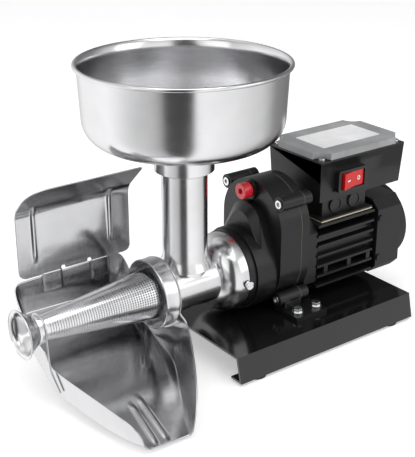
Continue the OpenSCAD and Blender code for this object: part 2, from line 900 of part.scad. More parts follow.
module fan_cover_screws() {
    color(zinc) on_table() for (s = [-1, 1], z = [-1, 1]) {
        y_face = s * cover_half;
        screw_z = motor_z + z * 26;
        rod_y(cover_screw_x, screw_z, min(y_face, y_face + s * 2), min(y_face, y_face + s * 2) + 2, 4);
        rod_y(cover_screw_x, screw_z, min(y_face, y_face - s * 6), min(y_face, y_face - s * 6) + 6,
            2.2 - seat_gap);
    }
}

// ---------- terminal box ----------

knock_r = 9.5;
knock_places = [pedestal_x0 + 20, pedestal_x0 + 50];
knock_z = box_z0 - 10.5;
gland_x = box_x0 + 30;
gland_z = box_z0 + 20;
lid_screw_places = [for (x = [lid_x0 + 7.5, lid_x0 + lid_len - 7.5], s = [-1, 1])
    [x, s * (lid_w / 2 - 7.5)]];
lid_plate_t = 2;
switch_hole_w = rocker_w - 1;
switch_hole_h = rocker_h + 4;

// Solid form of the box, wider at its top
module box_shell() {
    hull() {
        block([box_x0, -box_w / 2, box_z0], [box_x0 + box_len, box_w / 2, box_z0 + 0.1]);
        block([lid_x0, -lid_w / 2, box_top_z - 0.1], [lid_x0 + lid_len, lid_w / 2, box_top_z]);
    }
}

module terminal_box() {
    wall = box_wall;
    color(dark) on_table() difference() {
        union() {
            box_shell();
            block([switch_x - switch_w / 2, -pad_y, switch_z - switch_h / 2],
                [switch_x + switch_w / 2, wall - box_w / 2, switch_z + switch_h / 2]);
            rod_y(gland_x, gland_z, box_w / 2 - wall, pad_y, 14);
            block([pedestal_x0, -pedestal_w / 2, pedestal_z],
                [pedestal_x0 + pedestal_len, pedestal_w / 2, box_z0]);
            block([platform_x0, -45, pedestal_z], [platform_x1, 45, pedestal_z + 2]);
        }
        difference() {
            block([box_x0 + wall, wall - box_w / 2, box_z0 + wall],
                [box_x0 + box_len - wall, box_w / 2 - wall, box_top_z + 1]);
            for (p = lid_screw_places)
                post(p[0], p[1], box_z0, box_top_z, 6);
        }
        block([pedestal_x0 + wall, wall - pedestal_w / 2, pedestal_z - 1],
            [pedestal_x0 + pedestal_len - wall, pedestal_w / 2 - wall, box_z0 + wall + 1]);
        for (p = lid_screw_places)
            post(p[0], p[1], box_top_z - 16, box_top_z + 1, 2);
        for (x = knock_places)
            rod_y(x, knock_z, -pedestal_w / 2 - 1, wall - pedestal_w / 2 + 1, knock_r - 2);
        block([switch_x - switch_hole_w / 2, -pad_y - 1, switch_z - switch_hole_h / 2],
            [switch_x + switch_hole_w / 2, wall + 1 - box_w / 2, switch_z + switch_hole_h / 2]);
        rod_y(gland_x, gland_z, box_w / 2 - wall - 1, pad_y + 1, 8);
    }
}

module box_gasket() {
    color("#d8cfb4") on_table() difference() {
        block([platform_x0, -45, platform_z], [platform_x1, 45, pedestal_z]);
        block([pedestal_x0 + 6, 6 - pedestal_w / 2, platform_z - 1],
            [pedestal_x0 + pedestal_len - 6, pedestal_w / 2 - 6, pedestal_z + 1]);
    }
}

module box_lid() {
    z0 = box_top_z;
    z1 = box_top_z + lid_plate_t;
    top = z1 + lid_raise - lid_plate_t;
    inner = 2.5;
    color("#9a9da1") on_table() difference() {
        union() {
            block([lid_x0, -lid_w / 2, z0], [lid_x0 + lid_len, lid_w / 2, z1]);
            difference() {
                block([lid_x0, -lid_w / 2, z1], [lid_x0 + lid_len, lid_w / 2, top]);
                for (x = [lid_x0, lid_x0 + lid_len], s = [-1, 1])
                    post(x, s * lid_w / 2, z1, top + 1, lid_notch);
            }
        }
        for (p = lid_screw_places)
            post(p[0], p[1], z0 - 1, z1 + 1, 2.3);
        block([lid_x0 + lid_notch + inner, inner + box_wall - lid_w / 2, z0 - 1],
            [lid_x0 + lid_len - lid_notch - inner, lid_w / 2 - inner - box_wall, top - inner]);
    }
}

module lid_screws() {
    z = box_top_z + lid_plate_t;
    color(zinc) on_table() for (p = lid_screw_places) difference() {
        union() {
            post(p[0], p[1], z, z + 2.6, 4);
            post(p[0], p[1], z - 14, z, 2 - seat_gap);
        }
        translate([p[0], p[1], z + 1.2])
            cube([7, 1.1, 4], center = true);
    }
}

module rating_plate() {
    z = box_top_z + lid_raise;
    color("white") on_table() translate([lid_x0 + 22, -25, z])
        linear_extrude(height = 0.4)
            round_rect([92, 50], 1.5);
}

module knockout_plugs() {
    y0 = -pedestal_w / 2;
    color(black) on_table() for (x = knock_places) {
        difference() {
            rod_y(x, knock_z, y0 - 2.5, y0, knock_r);
            rod_y(x, knock_z, y0 - 4, y0 - 1.2, knock_r - 2);
        }
        rod_y(x, knock_z, y0, y0 + box_wall, knock_r - 2 - seat_gap);
    }
}

module cable_gland() {
    y0 = pad_y;
    color(black) on_table() difference() {
        union() {
            rod_y(gland_x, gland_z, box_w / 2 - box_wall - 6, y0, 8 - seat_gap);
            translate([gland_x, y0 + 5, gland_z])
                rotate([90, 0, 0])
                    cylinder(h = 5, r = 12, $fn = hex_fn);
            rod_y(gland_x, gland_z, y0 + 5, y0 + gland_len - box_wall - 6, 9);
        }
        rod_y(gland_x, gland_z, y0 - 20, y0 + gland_len, gland_bore_r);
    }
}

module gland_nut() {
    y0 = box_w / 2 - box_wall;
    color(dark) on_table() difference() {
        translate([gland_x, y0, gland_z])
            rotate([90, 0, 0])
                cylinder(h = 5, r = 12, $fn = hex_fn);
        rod_y(gland_x, gland_z, y0 - 6, y0 + 1, 8);
    }
}

module run_capacitor() {
    r = 14;
    color(nylon) on_table()
        rod_x(box_x0 + 56, box_x0 + 118, r, z = box_z0 + box_wall + r, y = 18);
}

module terminal_block() {
    x0 = box_x0 + 88;
    z0 = box_z0 + box_wall;
    color("#e4e0d2") on_table() difference() {
        block([x0, -30, z0], [x0 + 34, -14, z0 + 16]);
        for (i = [0 : 3])
            post(x0 + 5 + i * 8, -22, z0 + 8, z0 + 17, 2.2);
    }
}

// ---------- switch ----------

well_w = rocker_w + 2 * free_gap;
well_h = rocker_h + 2 * free_gap;
rocker_pivot_y = -pad_y - 2.5;

module switch_frame() {
    y0 = -pad_y;
    color(black) on_table() difference() {
        translate([switch_x - switch_w / 2, y0, switch_z - switch_h / 2])
            rotate([90, 0, 0])
                linear_extrude(height = switch_depth)
                    round_rect([switch_w, switch_h], 4);
        block([switch_x - well_w / 2, y0 - switch_depth - 1, switch_z - well_h / 2],
            [switch_x + well_w / 2, y0 + 1, switch_z + well_h / 2]);
    }
}

module switch_body() {
    y0 = -pad_y;
    wall = 1.2;
    w = switch_hole_w - 2 * seat_gap;
    h = switch_hole_h - 2 * seat_gap;
    color("#111113") on_table() difference() {
        union() {
            block([switch_x - w / 2, y0, switch_z - h / 2], [switch_x + w / 2, y0 + 22, switch_z + h / 2]);
            for (dx = [-8, 0, 8])
                block([switch_x + dx - 0.4, y0 + 22, switch_z - 3], [switch_x + dx + 0.4, y0 + 29, switch_z + 3]);
        }
        block([switch_x - w / 2 + wall, y0 - 1, switch_z - h / 2 + wall],
            [switch_x + w / 2 - wall, y0 + 12, switch_z + h / 2 - wall]);
    }
}

module switch_rocker() {
    half_w = rocker_w / 2 - 0.4;
    color(red) on_table() translate([switch_x, rocker_pivot_y, switch_z - rocker_h / 2])
        rotate([0, 0, rocker_travel / 2])
            linear_extrude(height = rocker_h)
                polygon([[-half_w, -5.5], [0, -4], [half_w, -5.5], [half_w - 1.5, 1], [4, 4.5], [-4, 4.5],
                    [1.5 - half_w, 1]]);
}

// ---------- strainer head ----------

// Outer bell profile: quarter circle from the tube to the band over the nose ring
bell_arc_r = bell_r - tube_r + 5;
bell_band = 7;

function arc_points(cx, cr, r, a0, a1, steps) =
    [for (i = [0 : steps]) let (a = a0 + (a1 - a0) * i / steps) [cr + r * sin(a), cx + r * cos(a)]];

module bell() {
    cx = bell_x1 - bell_band;
    cr = bell_r - bell_arc_r;
    start = asin((tube_r - cr) / bell_arc_r);
    inner_r = bell_arc_r - (bell_r - nose_r - free_gap);
    inner_start = asin((tube_bore_r - cr) / inner_r);
    outer = arc_points(cx, cr, bell_arc_r, 180 - start, 90, 8);
    inner = arc_points(cx, cr, inner_r, 90, 180 - inner_start, 8);
    lathe_x(concat(outer, [[bell_r, bell_x1], [nose_r + free_gap, bell_x1]], inner));
}

head_bolt_gap = 0.5;

module strainer_head() {
    neck_bore = neck_r - neck_wall;
    color(steel) on_table() difference() {
        union() {
            rod_x(tube_x0, bell_x0 + 4, tube_r);
            bell();
            post(0, 0, output_z, socket_floor_z - 4, neck_r);
            translate([0, 0, socket_floor_z - 6])
                cylinder(h = 4, r1 = neck_r, r2 = socket_r);
            post(0, 0, socket_floor_z - 2, socket_top_z, socket_r);
            translate([0, 0, output_z + tube_r - 6])
                cylinder(h = 12, r1 = neck_r + 5, r2 = neck_r);
            rod_x(tube_x0 + 7, tube_x0 + 8, tube_r);
        }
        rod_x(tube_x0 - 1, bell_x0 + 6, tube_bore_r);
        post(0, 0, output_z, socket_top_z + 1, neck_bore);
        post(0, 0, socket_floor_z, socket_top_z + 1, socket_bore_r);
        block([lock_x - lock_r - head_bolt_gap, -bell_r - 4, output_z - lock_r - head_bolt_gap],
            [bell_x1 + 1, -nose_r + 8, output_z + lock_r + head_bolt_gap]);
    }
}

lock_head_y = bell_r + 1 + free_gap;
lock_head_h = 4;

module lock_screw() {
    color(steel) on_table() {
        rod_y(lock_x, output_z, -lock_head_y, -nose_r + 6, lock_r);
        difference() {
            rod_y(lock_x, output_z, -lock_head_y - lock_head_h, -lock_head_y, 4.8);
            block([lock_x - 6, -lock_head_y - lock_head_h - 1, output_z - 0.7],
                [lock_x + 6, 1.5 - lock_head_y - lock_head_h, output_z + 0.7]);
        }
    }
}

// Half of the bowl's section, from its outlet to its bead; bowl walls lean out a little
module bowl_profile() {
    wall_r = bowl_r - 2 * bead_r;
    z_low = socket_top_z + bowl_dish;
    corner_x = wall_r - 2.5 - bowl_corner_r;
    corner_z = z_low + bowl_corner_r;
    inner_r = bowl_corner_r - bowl_t;
    outlet_r = socket_bore_r - sheet_gap;
    outer = [for (i = [0 : 8]) let (a = -90 + 90 * i / 8)
        [corner_x + bowl_corner_r * cos(a), corner_z + bowl_corner_r * sin(a)]];
    inner = [for (i = [8 : -1 : 0]) let (a = -90 + 90 * i / 8)
        [corner_x + inner_r * cos(a), corner_z + inner_r * sin(a)]];
    polygon(concat(
        [[outlet_r - bowl_t, socket_floor_z], [outlet_r, socket_floor_z], [outlet_r, socket_top_z],
            [socket_r + 2, socket_top_z]],
        outer,
        [[wall_r, bowl_top_z - bead_r], [wall_r - bowl_t, bowl_top_z - bead_r]],
        inner,
        [[outlet_r - bowl_t, socket_top_z + bowl_t + 1]]
    ));
    translate([bowl_r - bead_r, bowl_top_z - bead_r])
        circle(bead_r, $fn = 24);
    translate([wall_r - bowl_t, bowl_top_z - bead_r - 2])
        square([bead_r + bowl_t, 2]);
}

module feed_bowl() {
    color(steel) on_table()
        rotate_extrude($fn = 96)
            bowl_profile();
}

// ---------- feed screw ----------

core_r = 12;
taper_x0 = tube_x0 - 3;
taper_x1 = sieve_x1 + 3;
screw_x1 = bell_x0 - 2;

// Section of the core with one flight
module screw_section(steps) {
    polygon(concat(
        [for (i = [0 : steps]) polar(core_r, 20 + 320 * i / steps)],
        [polar(screw_r - 0.6, -9), polar(screw_r, 0), polar(screw_r - 0.6, 9)]
    ));
}

module feed_screw() {
    straight = screw_x1 - taper_x0;
    taper = taper_x0 - taper_x1;
    end_scale = (sieve_r1 - sieve_t - 0.7) / screw_r;
    color(nylon) on_table() translate([0, 0, output_z]) union() {
        translate([taper_x0, 0, 0])
            rotate([0, 90, 0])
                linear_extrude(height = straight, twist = -360 * straight / screw_pitch, slices = 40,
                    $fn = 20)
                    screw_section(14);
        translate([taper_x0, 0, 0])
            mirror([1, 0, 0])
                rotate([0, 90, 0])
                    linear_extrude(height = taper, twist = 360 * taper / screw_pitch, slices = 64,
                        scale = end_scale, $fn = 20)
                        screw_section(14);
        rod_x(screw_x1 - 0.01, screw_x1 + 5, core_r + 7, z = 0);
        rod_x(screw_x1 + 5, socket_x - 2, core_r - 1, z = 0);
        block([socket_x - 2, -drive_side / 2, -drive_side / 2], [socket_x + 14, drive_side / 2, drive_side / 2]);
    }
}

module thrust_washer() {
    color(nylon) on_table()
        tube_x(socket_x - 3, socket_x - free_gap, shaft_nose_r - 0.5, core_r - 1 + free_gap);
}

// ---------- sieve ----------

module sieve_cone() {
    t = sieve_t;
    band = 5;
    color(steel) on_table() lathe_x([
        [sieve_r0 - t, sieve_x0 + 2 - 0.1], [ring_r - 2 - 2 * seat_gap, sieve_x0 + 2 - 0.1],
        [ring_r - 2 - 2 * seat_gap, sieve_x0 + 0.8], [sieve_r0, sieve_x0 + 0.8],
        [sieve_r0, sieve_x0 - band], [sieve_r1, sieve_x1], [sieve_r1, nozzle_x1],
        [sieve_r1 - t, nozzle_x1], [sieve_r1 - t, sieve_x1], [sieve_r0 - t, sieve_x0 - band]
    ]);
}

module sieve_ring() {
    wall = 2;
    color(steel) on_table() lathe_x([
        [ring_r - wall, ring_x0 + 1], [ring_r - 1, ring_x0], [ring_r, ring_x0 + 1],
        [ring_r, ring_x1 - 1.5], [ring_r - 1.5, ring_x1], [tube_r + free_gap, ring_x1],
        [tube_r + free_gap, ring_x1 - wall], [ring_r - wall, ring_x1 - wall]
    ]);
}

module waste_nozzle() {
    throat = sieve_r1 - 2.4;
    color(steel) on_table() lathe_x([
        [nozzle_r - 1.5, nozzle_x0], [nozzle_r, nozzle_x0 + 0.8], [nozzle_r - 0.4, nozzle_x0 + 2],
        [sieve_r1 + 3, nozzle_x1 - 5], [sieve_r1 + 1, nozzle_x1 - 2], [sieve_r1 + 1.6, nozzle_x1],
        [sieve_r1 + 1.6, nozzle_x1 + 5], [sieve_r1 + seat_gap, nozzle_x1 + 5],
        [sieve_r1 + seat_gap, nozzle_x1], [throat, nozzle_x1], [throat, nozzle_x1 - 4]
    ]);
}

// ---------- juice chute ----------

function mix(a, b, t) = a + (b - a) * t;

spout_x0 = -104 - spout_w;
spout_x1 = -104;
ring_low = ring_r + 2.8;

// Foot and top edge of the left side, from the spout to the far corner
left_foot = [
    [spout_x0, spout_y + 6, spout_z + 2], [spout_x0, spout_y + 12, spout_z + 1.5],
    [mix(spout_x0, chute_x0, 0.25), 0.85 * spout_y, spout_z + 2],
    [mix(spout_x0, chute_x0, 0.65), 0.6 * spout_y, spout_z + 8],
    [chute_x0 + 4, 0.22 * spout_y, -16], [chute_x0 + 3, -15, -12], [chute_x0 + 3, -6, -6],
    [chute_x0 + 3, 9, 2], [chute_x0 + 3, 24, 12], [chute_x0 + 3, chute_y1 - 18, 27],
    [chute_x0 + 8, chute_y1 - 3, 40]
];
left_top = [
    [spout_x0 - 7, spout_y + 6, spout_z + 5], [spout_x0 - 9, spout_y + 7, spout_z + 20],
    [mix(spout_x0 - 9, chute_x0, 0.3), 0.9 * spout_y, 4],
    [mix(spout_x0 - 9, chute_x0, 0.65), 0.54 * spout_y, 9],
    [chute_x0, 0.12 * spout_y, 13], [chute_x0, -15, 22], [chute_x0, -10, 31], [chute_x0, 8, 31.5],
    [chute_x0, 24, 40], [chute_x0, chute_y1 - 17, 58], [chute_x0 + 2, chute_y1 - 1, chute_far_z - 3]
];
// The same for the right side, from the far corner to the spout
right_foot = [
    [chute_x1 - 12, chute_y1 - 3, 38], [chute_x1 - 5, chute_y1 - 18, 24], [chute_x1 - 6, 24, 9],
    [chute_x1 - 6, 9, 1], [chute_x1 - 6, -8, -7], [chute_x1 - 6, -24, -11], [chute_x1 - 8, -42, -15],
    [mix(chute_x1, spout_x1, 0.25), 0.38 * spout_y, -18],
    [mix(chute_x1, spout_x1, 0.62), 0.66 * spout_y, spout_z + 7],
    [mix(chute_x1, spout_x1, 0.92), 0.88 * spout_y, spout_z + 2], [spout_x1, spout_y + 5, spout_z]
];
right_top = [
    [chute_x1 - 6, chute_y1, chute_far_z], [chute_x1, ring_low + 4, output_z - 8],
    [chute_x1, 25, output_z - sqrt(ring_low * ring_low - 25 * 25)],
    [chute_x1, 9, output_z - sqrt(ring_low * ring_low - 9 * 9)],
    [chute_x1, -8, output_z - sqrt(ring_low * ring_low - 8 * 8)],
    [chute_x1, -24, output_z - sqrt(ring_low * ring_low - 24 * 24)], [chute_x1 + 1, -52, 38],
    [chute_x1 - 4, 0.42 * spout_y, 31], [mix(chute_x1, spout_x1, 0.42), 0.69 * spout_y, 20],
    [mix(chute_x1, spout_x1, 0.78), 0.93 * spout_y, 4], [spout_x1 + 1, spout_y, spout_z + 8]
];
side_n = len(left_foot) - 1;
far_n = 6;
wall_n = 3;
station_n = 2 * side_n + far_n;

function foot_at(k) =
    k <= side_n ? left_foot[k]
    : k < side_n + far_n ? mix(left_foot[side_n], right_foot[0], (k - side_n) / far_n)
    : right_foot[k - side_n - far_n];
function top_at(k) =
    k <= side_n ? left_top[k]
    : k < side_n + far_n ? mix(left_top[side_n], right_top[0], (k - side_n) / far_n)
    : right_top[k - side_n - far_n];

// Level direction out of the chute at a station
function out_at(k) =
    let (a = top_at(max(0, k - 1)), b = top_at(min(station_n, k + 1)), d = b - a)
    [-d[1], d[0], 0] / norm([d[0], d[1]]);

// Floor point of row j from the spout, i across from left to right
function floor_at(j, i) =
    j == side_n ? foot_at(side_n + i)
    : mix(left_foot[j], right_foot[side_n - j], i / far_n);
function wall_at(k, r) = mix(foot_at(k), top_at(k), r / wall_n);

// Indices: the floor grid comes first, then the wall rows above the foot
function floor_id(j, i) = j * (far_n + 1) + i;
function foot_id(k) =
    k <= side_n ? floor_id(k, 0)
    : k < side_n + far_n ? floor_id(side_n, k - side_n)
    : floor_id(station_n - k, far_n);
floor_count = (side_n + 1) * (far_n + 1);
function wall_id(k, r) = r == 0 ? foot_id(k) : floor_count + (r - 1) * (station_n + 1) + k;

inner_points = concat(
    [for (j = [0 : side_n], i = [0 : far_n]) floor_at(j, i)],
    [for (r = [1 : wall_n], k = [0 : station_n]) wall_at(k, r)]
);
down = [0, 0, -1];
function floor_out(j, i) =
    i == 0 ? out_at(j) + down : i == far_n ? out_at(station_n - j) + down
    : j == side_n ? out_at(side_n + i) + down : down;
outer_points = concat(
    [for (j = [0 : side_n], i = [0 : far_n]) floor_at(j, i) + chute_t * floor_out(j, i)],
    [for (r = [1 : wall_n], k = [0 : station_n]) wall_at(k, r) + chute_t * out_at(k)]
);
count = len(inner_points);
skin = concat(
    [for (j = [0 : side_n - 1], i = [0 : far_n - 1])
        each [[floor_id(j, i), floor_id(j, i + 1), floor_id(j + 1, i + 1)],
            [floor_id(j, i), floor_id(j + 1, i + 1), floor_id(j + 1, i)]]],
    [for (k = [0 : station_n - 1], r = [0 : wall_n - 1])
        each [[wall_id(k, r), wall_id(k + 1, r), wall_id(k + 1, r + 1)],
            [wall_id(k, r), wall_id(k + 1, r + 1), wall_id(k, r + 1)]]]
);
// Free edge all round: up the left end, along the top, down the right end, back across the lip
edge = concat(
    [for (r = [0 : wall_n]) wall_id(0, r)],
    [for (k = [1 : station_n]) wall_id(k, wall_n)],
    [for (r = [wall_n - 1 : -1 : 0]) wall_id(station_n, r)],
    [for (i = [far_n - 1 : -1 : 1]) floor_id(0, i)]
);

module juice_chute() {
    n = len(edge);
    rim = [for (i = [0 : n - 1]) let (a = edge[i], b = edge[(i + 1) % n])
        each [[b, a, a + count], [b, a + count, b + count]]];
    outer_skin = [for (f = skin) [f[0] + count, f[1] + count, f[2] + count]];
    inner_skin = [for (f = skin) [f[2], f[1], f[0]]];
    color(steel) on_table()
        polyhedron(points = concat(inner_points, outer_points), faces = concat(inner_skin, outer_skin, rim));
}

// ---------- spring wire clips ----------

wire_sides = 8;

function unit(v) = v / norm(v);

// One ring of points round a bent wire; the wire never runs along X
function wire_ring(path, i) =
    let (n = len(path) - 1,
         t = unit(path[min(n, i + 1)] - path[max(0, i - 1)]),
         u = unit(cross(t, [1, 0, 0])),
         v = cross(u, t))
    [for (k = [0 : wire_sides - 1]) let (a = 360 * k / wire_sides)
        path[i] + clip_r * (cos(a) * u + sin(a) * v)];

// Bent wire along a path, as one closed tube
module wire(path) {
    n = len(path) - 1;
    points = [for (i = [0 : n]) each wire_ring(path, i)];
    sides = [for (i = [0 : n - 1], k = [0 : wire_sides - 1])
        let (a = i * wire_sides + k, b = i * wire_sides + (k + 1) % wire_sides)
        each [[a, b, b + wire_sides], [a, b + wire_sides, a + wire_sides]]];
    start = [for (k = [wire_sides - 1 : -1 : 0]) k];
    finish = [for (k = [0 : wire_sides - 1]) n * wire_sides + k];
    polyhedron(points = points, faces = concat(sides, [start, finish]));
}

// Points of a loop about the output axis, from the near side over the top to the far side
function loop_points(x, r, gap, steps) =
    [for (i = [0 : steps]) let (a = 180 + gap / 2 + (360 - gap) * i / steps)
        [x, r * sin(a), output_z + r * cos(a)]];

module rear_clip() {
    x = ring_x1 + clip_r + 0.1;
    loop = loop_points(x, ring_r - 2, 140, 24);
    y_end = loop[0][1];
    z_end = loop[0][2];
    color(zinc) on_table()
        wire(concat(
            [[x + 7, y_end - 12, z_end - 38], [x + 5, y_end - 6, z_end - 14], [x + 1, y_end - 1, z_end - 4]],
            loop,
            [[x + 3, 4 - y_end, z_end - 12]]
        ));
}

hook_lap = 0.3;

module front_clip() {
    x = nozzle_x1 + 3.2;
    hook_x = chute_x0 - chute_t - clip_r + hook_lap;
    color(zinc) on_table()
        wire(concat(
            [[hook_x + 3, -37, -8], [hook_x, -26, 12], [x - 2, -23, 24]],
            loop_points(x, sieve_r1 + 1.6 + clip_r + 0.1, 150, 20),
            [[x, 22, 47]]
        ));
}

// ---------- splash guard ----------

guard_x0 = chute_x0 + 10;
guard_t = 1;
guard_z0 = chute_far_z + free_gap;
tab_depth = 22;

guard_corner = 20;
guard_small_corner = 5;
guard_tab_pitch = 60;
guard_slot_h = 5;

// What is cut away to round one top corner of the flange, with the corner at the origin
module corner_waste(r) {
    difference() {
        translate([-1, -r])
            square([r + 1, r + 1]);
        translate([r, -r])
            circle(r);
    }
}

module splash_guard() {
    z1 = guard_z0 + guard_h;
    x1 = guard_x0 + guard_len;
    mid = (guard_x0 + x1) / 2;
    y0 = chute_y1 - guard_t;
    tab_y = y0 - 4.5;
    half_slot = (guard_tab_pitch - guard_tab_w) / 2;
    tip = [chute_y1 - guard_flange * sin(guard_lean), z1 + guard_flange * cos(guard_lean)];
    color(steel) on_table() difference() {
        union() {
            slab_x(guard_x0, x1)
                polygon([
                    [chute_y1, guard_z0], [chute_y1, z1], tip,
                    tip - guard_t * [cos(guard_lean), sin(guard_lean)],
                    [y0, z1 - guard_t * tan(guard_lean / 2)], [y0, guard_z0]
                ]);
            for (x = [mid - guard_tab_pitch / 2, mid + guard_tab_pitch / 2])
                slab_x(x - guard_tab_w / 2, x + guard_tab_w / 2)
                    polygon([
                        [chute_y1 - guard_t / 2, guard_z0], [chute_y1 - guard_t / 2, guard_z0 + guard_t],
                        [tab_y, guard_z0 + guard_t], [tab_y, guard_z0 - tab_depth],
                        [tab_y + guard_t, guard_z0 - tab_depth], [tab_y + guard_t, guard_z0]
                    ]);
        }
        block([mid - half_slot, y0 - 1, guard_z0 - 1], [mid + half_slot, chute_y1 + 1, guard_z0 + guard_slot_h]);
        translate([guard_x0, tip[0], tip[1]])
            rotate([90 + guard_lean, 0, 0])
                translate([0, 0, -1])
                    linear_extrude(height = guard_t + 2)
                        corner_waste(guard_corner);
        translate([x1, tip[0], tip[1]])
            rotate([90 + guard_lean, 0, 0])
                translate([0, 0, -1])
                    linear_extrude(height = guard_t + 2)
                        mirror([1, 0])
                            corner_waste(guard_small_corner);
    }
}

base_channel();
rubber_feet();
foot_screws();
foot_nuts();
mounting_bolts();
mounting_washers();
mounting_nuts();
gear_housing();
case_gasket();
gear_back_plate();
case_screws();
oil_plug();
nose_ring();
output_seal();
output_bearings();
output_shaft();
output_gear();
counter_shaft();
counter_gear();
counter_bearings();
motor_pinion();
motor_shaft();
motor_bearings();
rotor_core();
stator_core();
stator_winding();
motor_frame();
rear_shield();
cooling_fan();
fan_cover();
fan_cover_screws();
terminal_box();
box_gasket();
box_lid();
lid_screws();
rating_plate();
knockout_plugs();
cable_gland();
gland_nut();
run_capacitor();
terminal_block();
switch_frame();
switch_body();
switch_rocker();
strainer_head();
lock_screw();
feed_bowl();
feed_screw();
thrust_washer();
sieve_cone();
sieve_ring();
waste_nozzle();
juice_chute();
rear_clip();
front_clip();
splash_guard();
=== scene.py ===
"""Electric milling strainer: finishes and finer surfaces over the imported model."""

import json
import math

import bmesh
import bpy
import numpy as np
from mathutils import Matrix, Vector


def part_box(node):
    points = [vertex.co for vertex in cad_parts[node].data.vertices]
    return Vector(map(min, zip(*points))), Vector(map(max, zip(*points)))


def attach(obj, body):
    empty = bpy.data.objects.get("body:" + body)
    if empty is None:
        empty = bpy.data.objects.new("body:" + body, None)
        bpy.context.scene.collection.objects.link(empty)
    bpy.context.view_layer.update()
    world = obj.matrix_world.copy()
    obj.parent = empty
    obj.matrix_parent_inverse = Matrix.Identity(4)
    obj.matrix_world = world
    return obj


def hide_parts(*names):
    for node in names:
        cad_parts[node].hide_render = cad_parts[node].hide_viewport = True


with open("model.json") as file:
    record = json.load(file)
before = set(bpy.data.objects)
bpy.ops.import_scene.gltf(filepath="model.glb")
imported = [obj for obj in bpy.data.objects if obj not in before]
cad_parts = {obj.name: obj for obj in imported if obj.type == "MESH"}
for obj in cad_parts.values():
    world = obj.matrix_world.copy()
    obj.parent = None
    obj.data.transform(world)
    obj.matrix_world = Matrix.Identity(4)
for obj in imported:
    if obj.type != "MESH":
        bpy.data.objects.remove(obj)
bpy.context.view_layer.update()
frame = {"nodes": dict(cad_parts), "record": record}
scene = bpy.context.scene
nodes = frame["nodes"]
body_of_node = {n: b for b, ns in frame["record"]["behaviour"]["bodies"].items() for n in ns}
slot_of_node = {p["node"]: p["material_slot"] for p in frame["record"]["subparts"]}

# Surfaces are worked out in millimetres from the neck's axis and the top of the base plate
bowl_low, bowl_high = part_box("feed_bowl")
base_low, base_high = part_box("base_channel")
ORIGIN = np.array([(bowl_low.x + bowl_high.x) / 2, (bowl_low.y + bowl_high.y) / 2, base_high.z])
MM = 0.001


def placed(points):
    """Points in millimetres from the neck's foot, as points in metres in the row frame."""
    return np.asarray(points, float) * MM + ORIGIN


# ---------- mesh helpers ----------

def grid_faces(rows, columns, close_rows=False, close_columns=False):
    """Quads of a grid of points: each joins a point to the next one both ways, round the ends where closed."""
    r = np.arange(rows if close_rows else rows - 1)
    c = np.arange(columns if close_columns else columns - 1)
    r, c = np.meshgrid(r, c, indexing="ij")
    r1, c1 = (r + 1) % rows, (c + 1) % columns
    quads = np.stack([r * columns + c, r * columns + c1, r1 * columns + c1, r1 * columns + c], -1)
    return quads.reshape(-1, 4)


def new_object(name, points, faces, sharp_angle=35):
    """A mesh object from points in metres and faces, smooth except at edges sharper than the angle."""
    mesh = bpy.data.meshes.new(name)
    mesh.from_pydata(np.asarray(points).tolist(), [], [list(map(int, f)) for f in faces])
    mesh.validate()
    mesh.shade_smooth()
    mesh.set_sharp_from_angle(angle=math.radians(sharp_angle))
    obj = bpy.data.objects.new(name, mesh)
    scene.collection.objects.link(obj)
    return obj


def stands_for(obj, material, *names):
    """The piece takes the place of these CAD nodes, rides on their body and has this material."""
    obj.data.materials.clear()
    obj.data.materials.append(material)
    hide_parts(*names)
    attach(obj, body_of_node[names[0]])
    return obj


def rides_with(obj, material, name):
    """The piece is extra detail on this CAD node's body and has this material."""
    obj.data.materials.clear()
    obj.data.materials.append(material)
    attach(obj, body_of_node[name])
    return obj


def turned(profile, axis, centre, steps=128):
    """A profile of (radius, distance along the axis) carried once round the axis: radius r and angle a give
    r cos a and r sin a across the axis. The profile is closed."""
    profile = np.asarray(profile, float)
    a = np.linspace(0, 2 * np.pi, steps, endpoint=False)
    r, h = profile[:, 0][:, None], profile[:, 1][:, None] + 0 * a
    across, up = r * np.cos(a), r * np.sin(a)
    if axis == "x":
        points = np.stack([h, across, up], -1)
    else:
        points = np.stack([across, up, h], -1)
    faces = grid_faces(len(profile), steps, close_rows=True, close_columns=True)
    return placed((points + np.asarray(centre, float)).reshape(-1, 3)), faces


def arc(centre, radius, start, end, steps):
    """Points on a circle from one angle to another, in degrees."""
    a = np.radians(np.linspace(start, end, steps))
    return np.stack([centre[0] + radius * np.cos(a), centre[1] + radius * np.sin(a)], -1)


def smooth_path(points, steps):
    """Catmull-Rom curve through the points: each span is the cubic whose slopes at its ends are half the
    difference of the neighbours."""
    p = np.asarray(points, float)
    p = np.concatenate([[2 * p[0] - p[1]], p, [2 * p[-1] - p[-2]]])
    t = np.linspace(0, 1, steps, endpoint=False)[:, None, None]
    a, b, c, d = p[:-3], p[1:-2], p[2:-1], p[3:]
    curve = 0.5 * (2 * b + (c - a) * t + (2 * a - 5 * b + 4 * c - d) * t**2 + (3 * b - a - 3 * c + d) * t**3)
    return np.concatenate([curve.transpose(1, 0, 2).reshape(-1, p.shape[1]), p[-2:-1]])


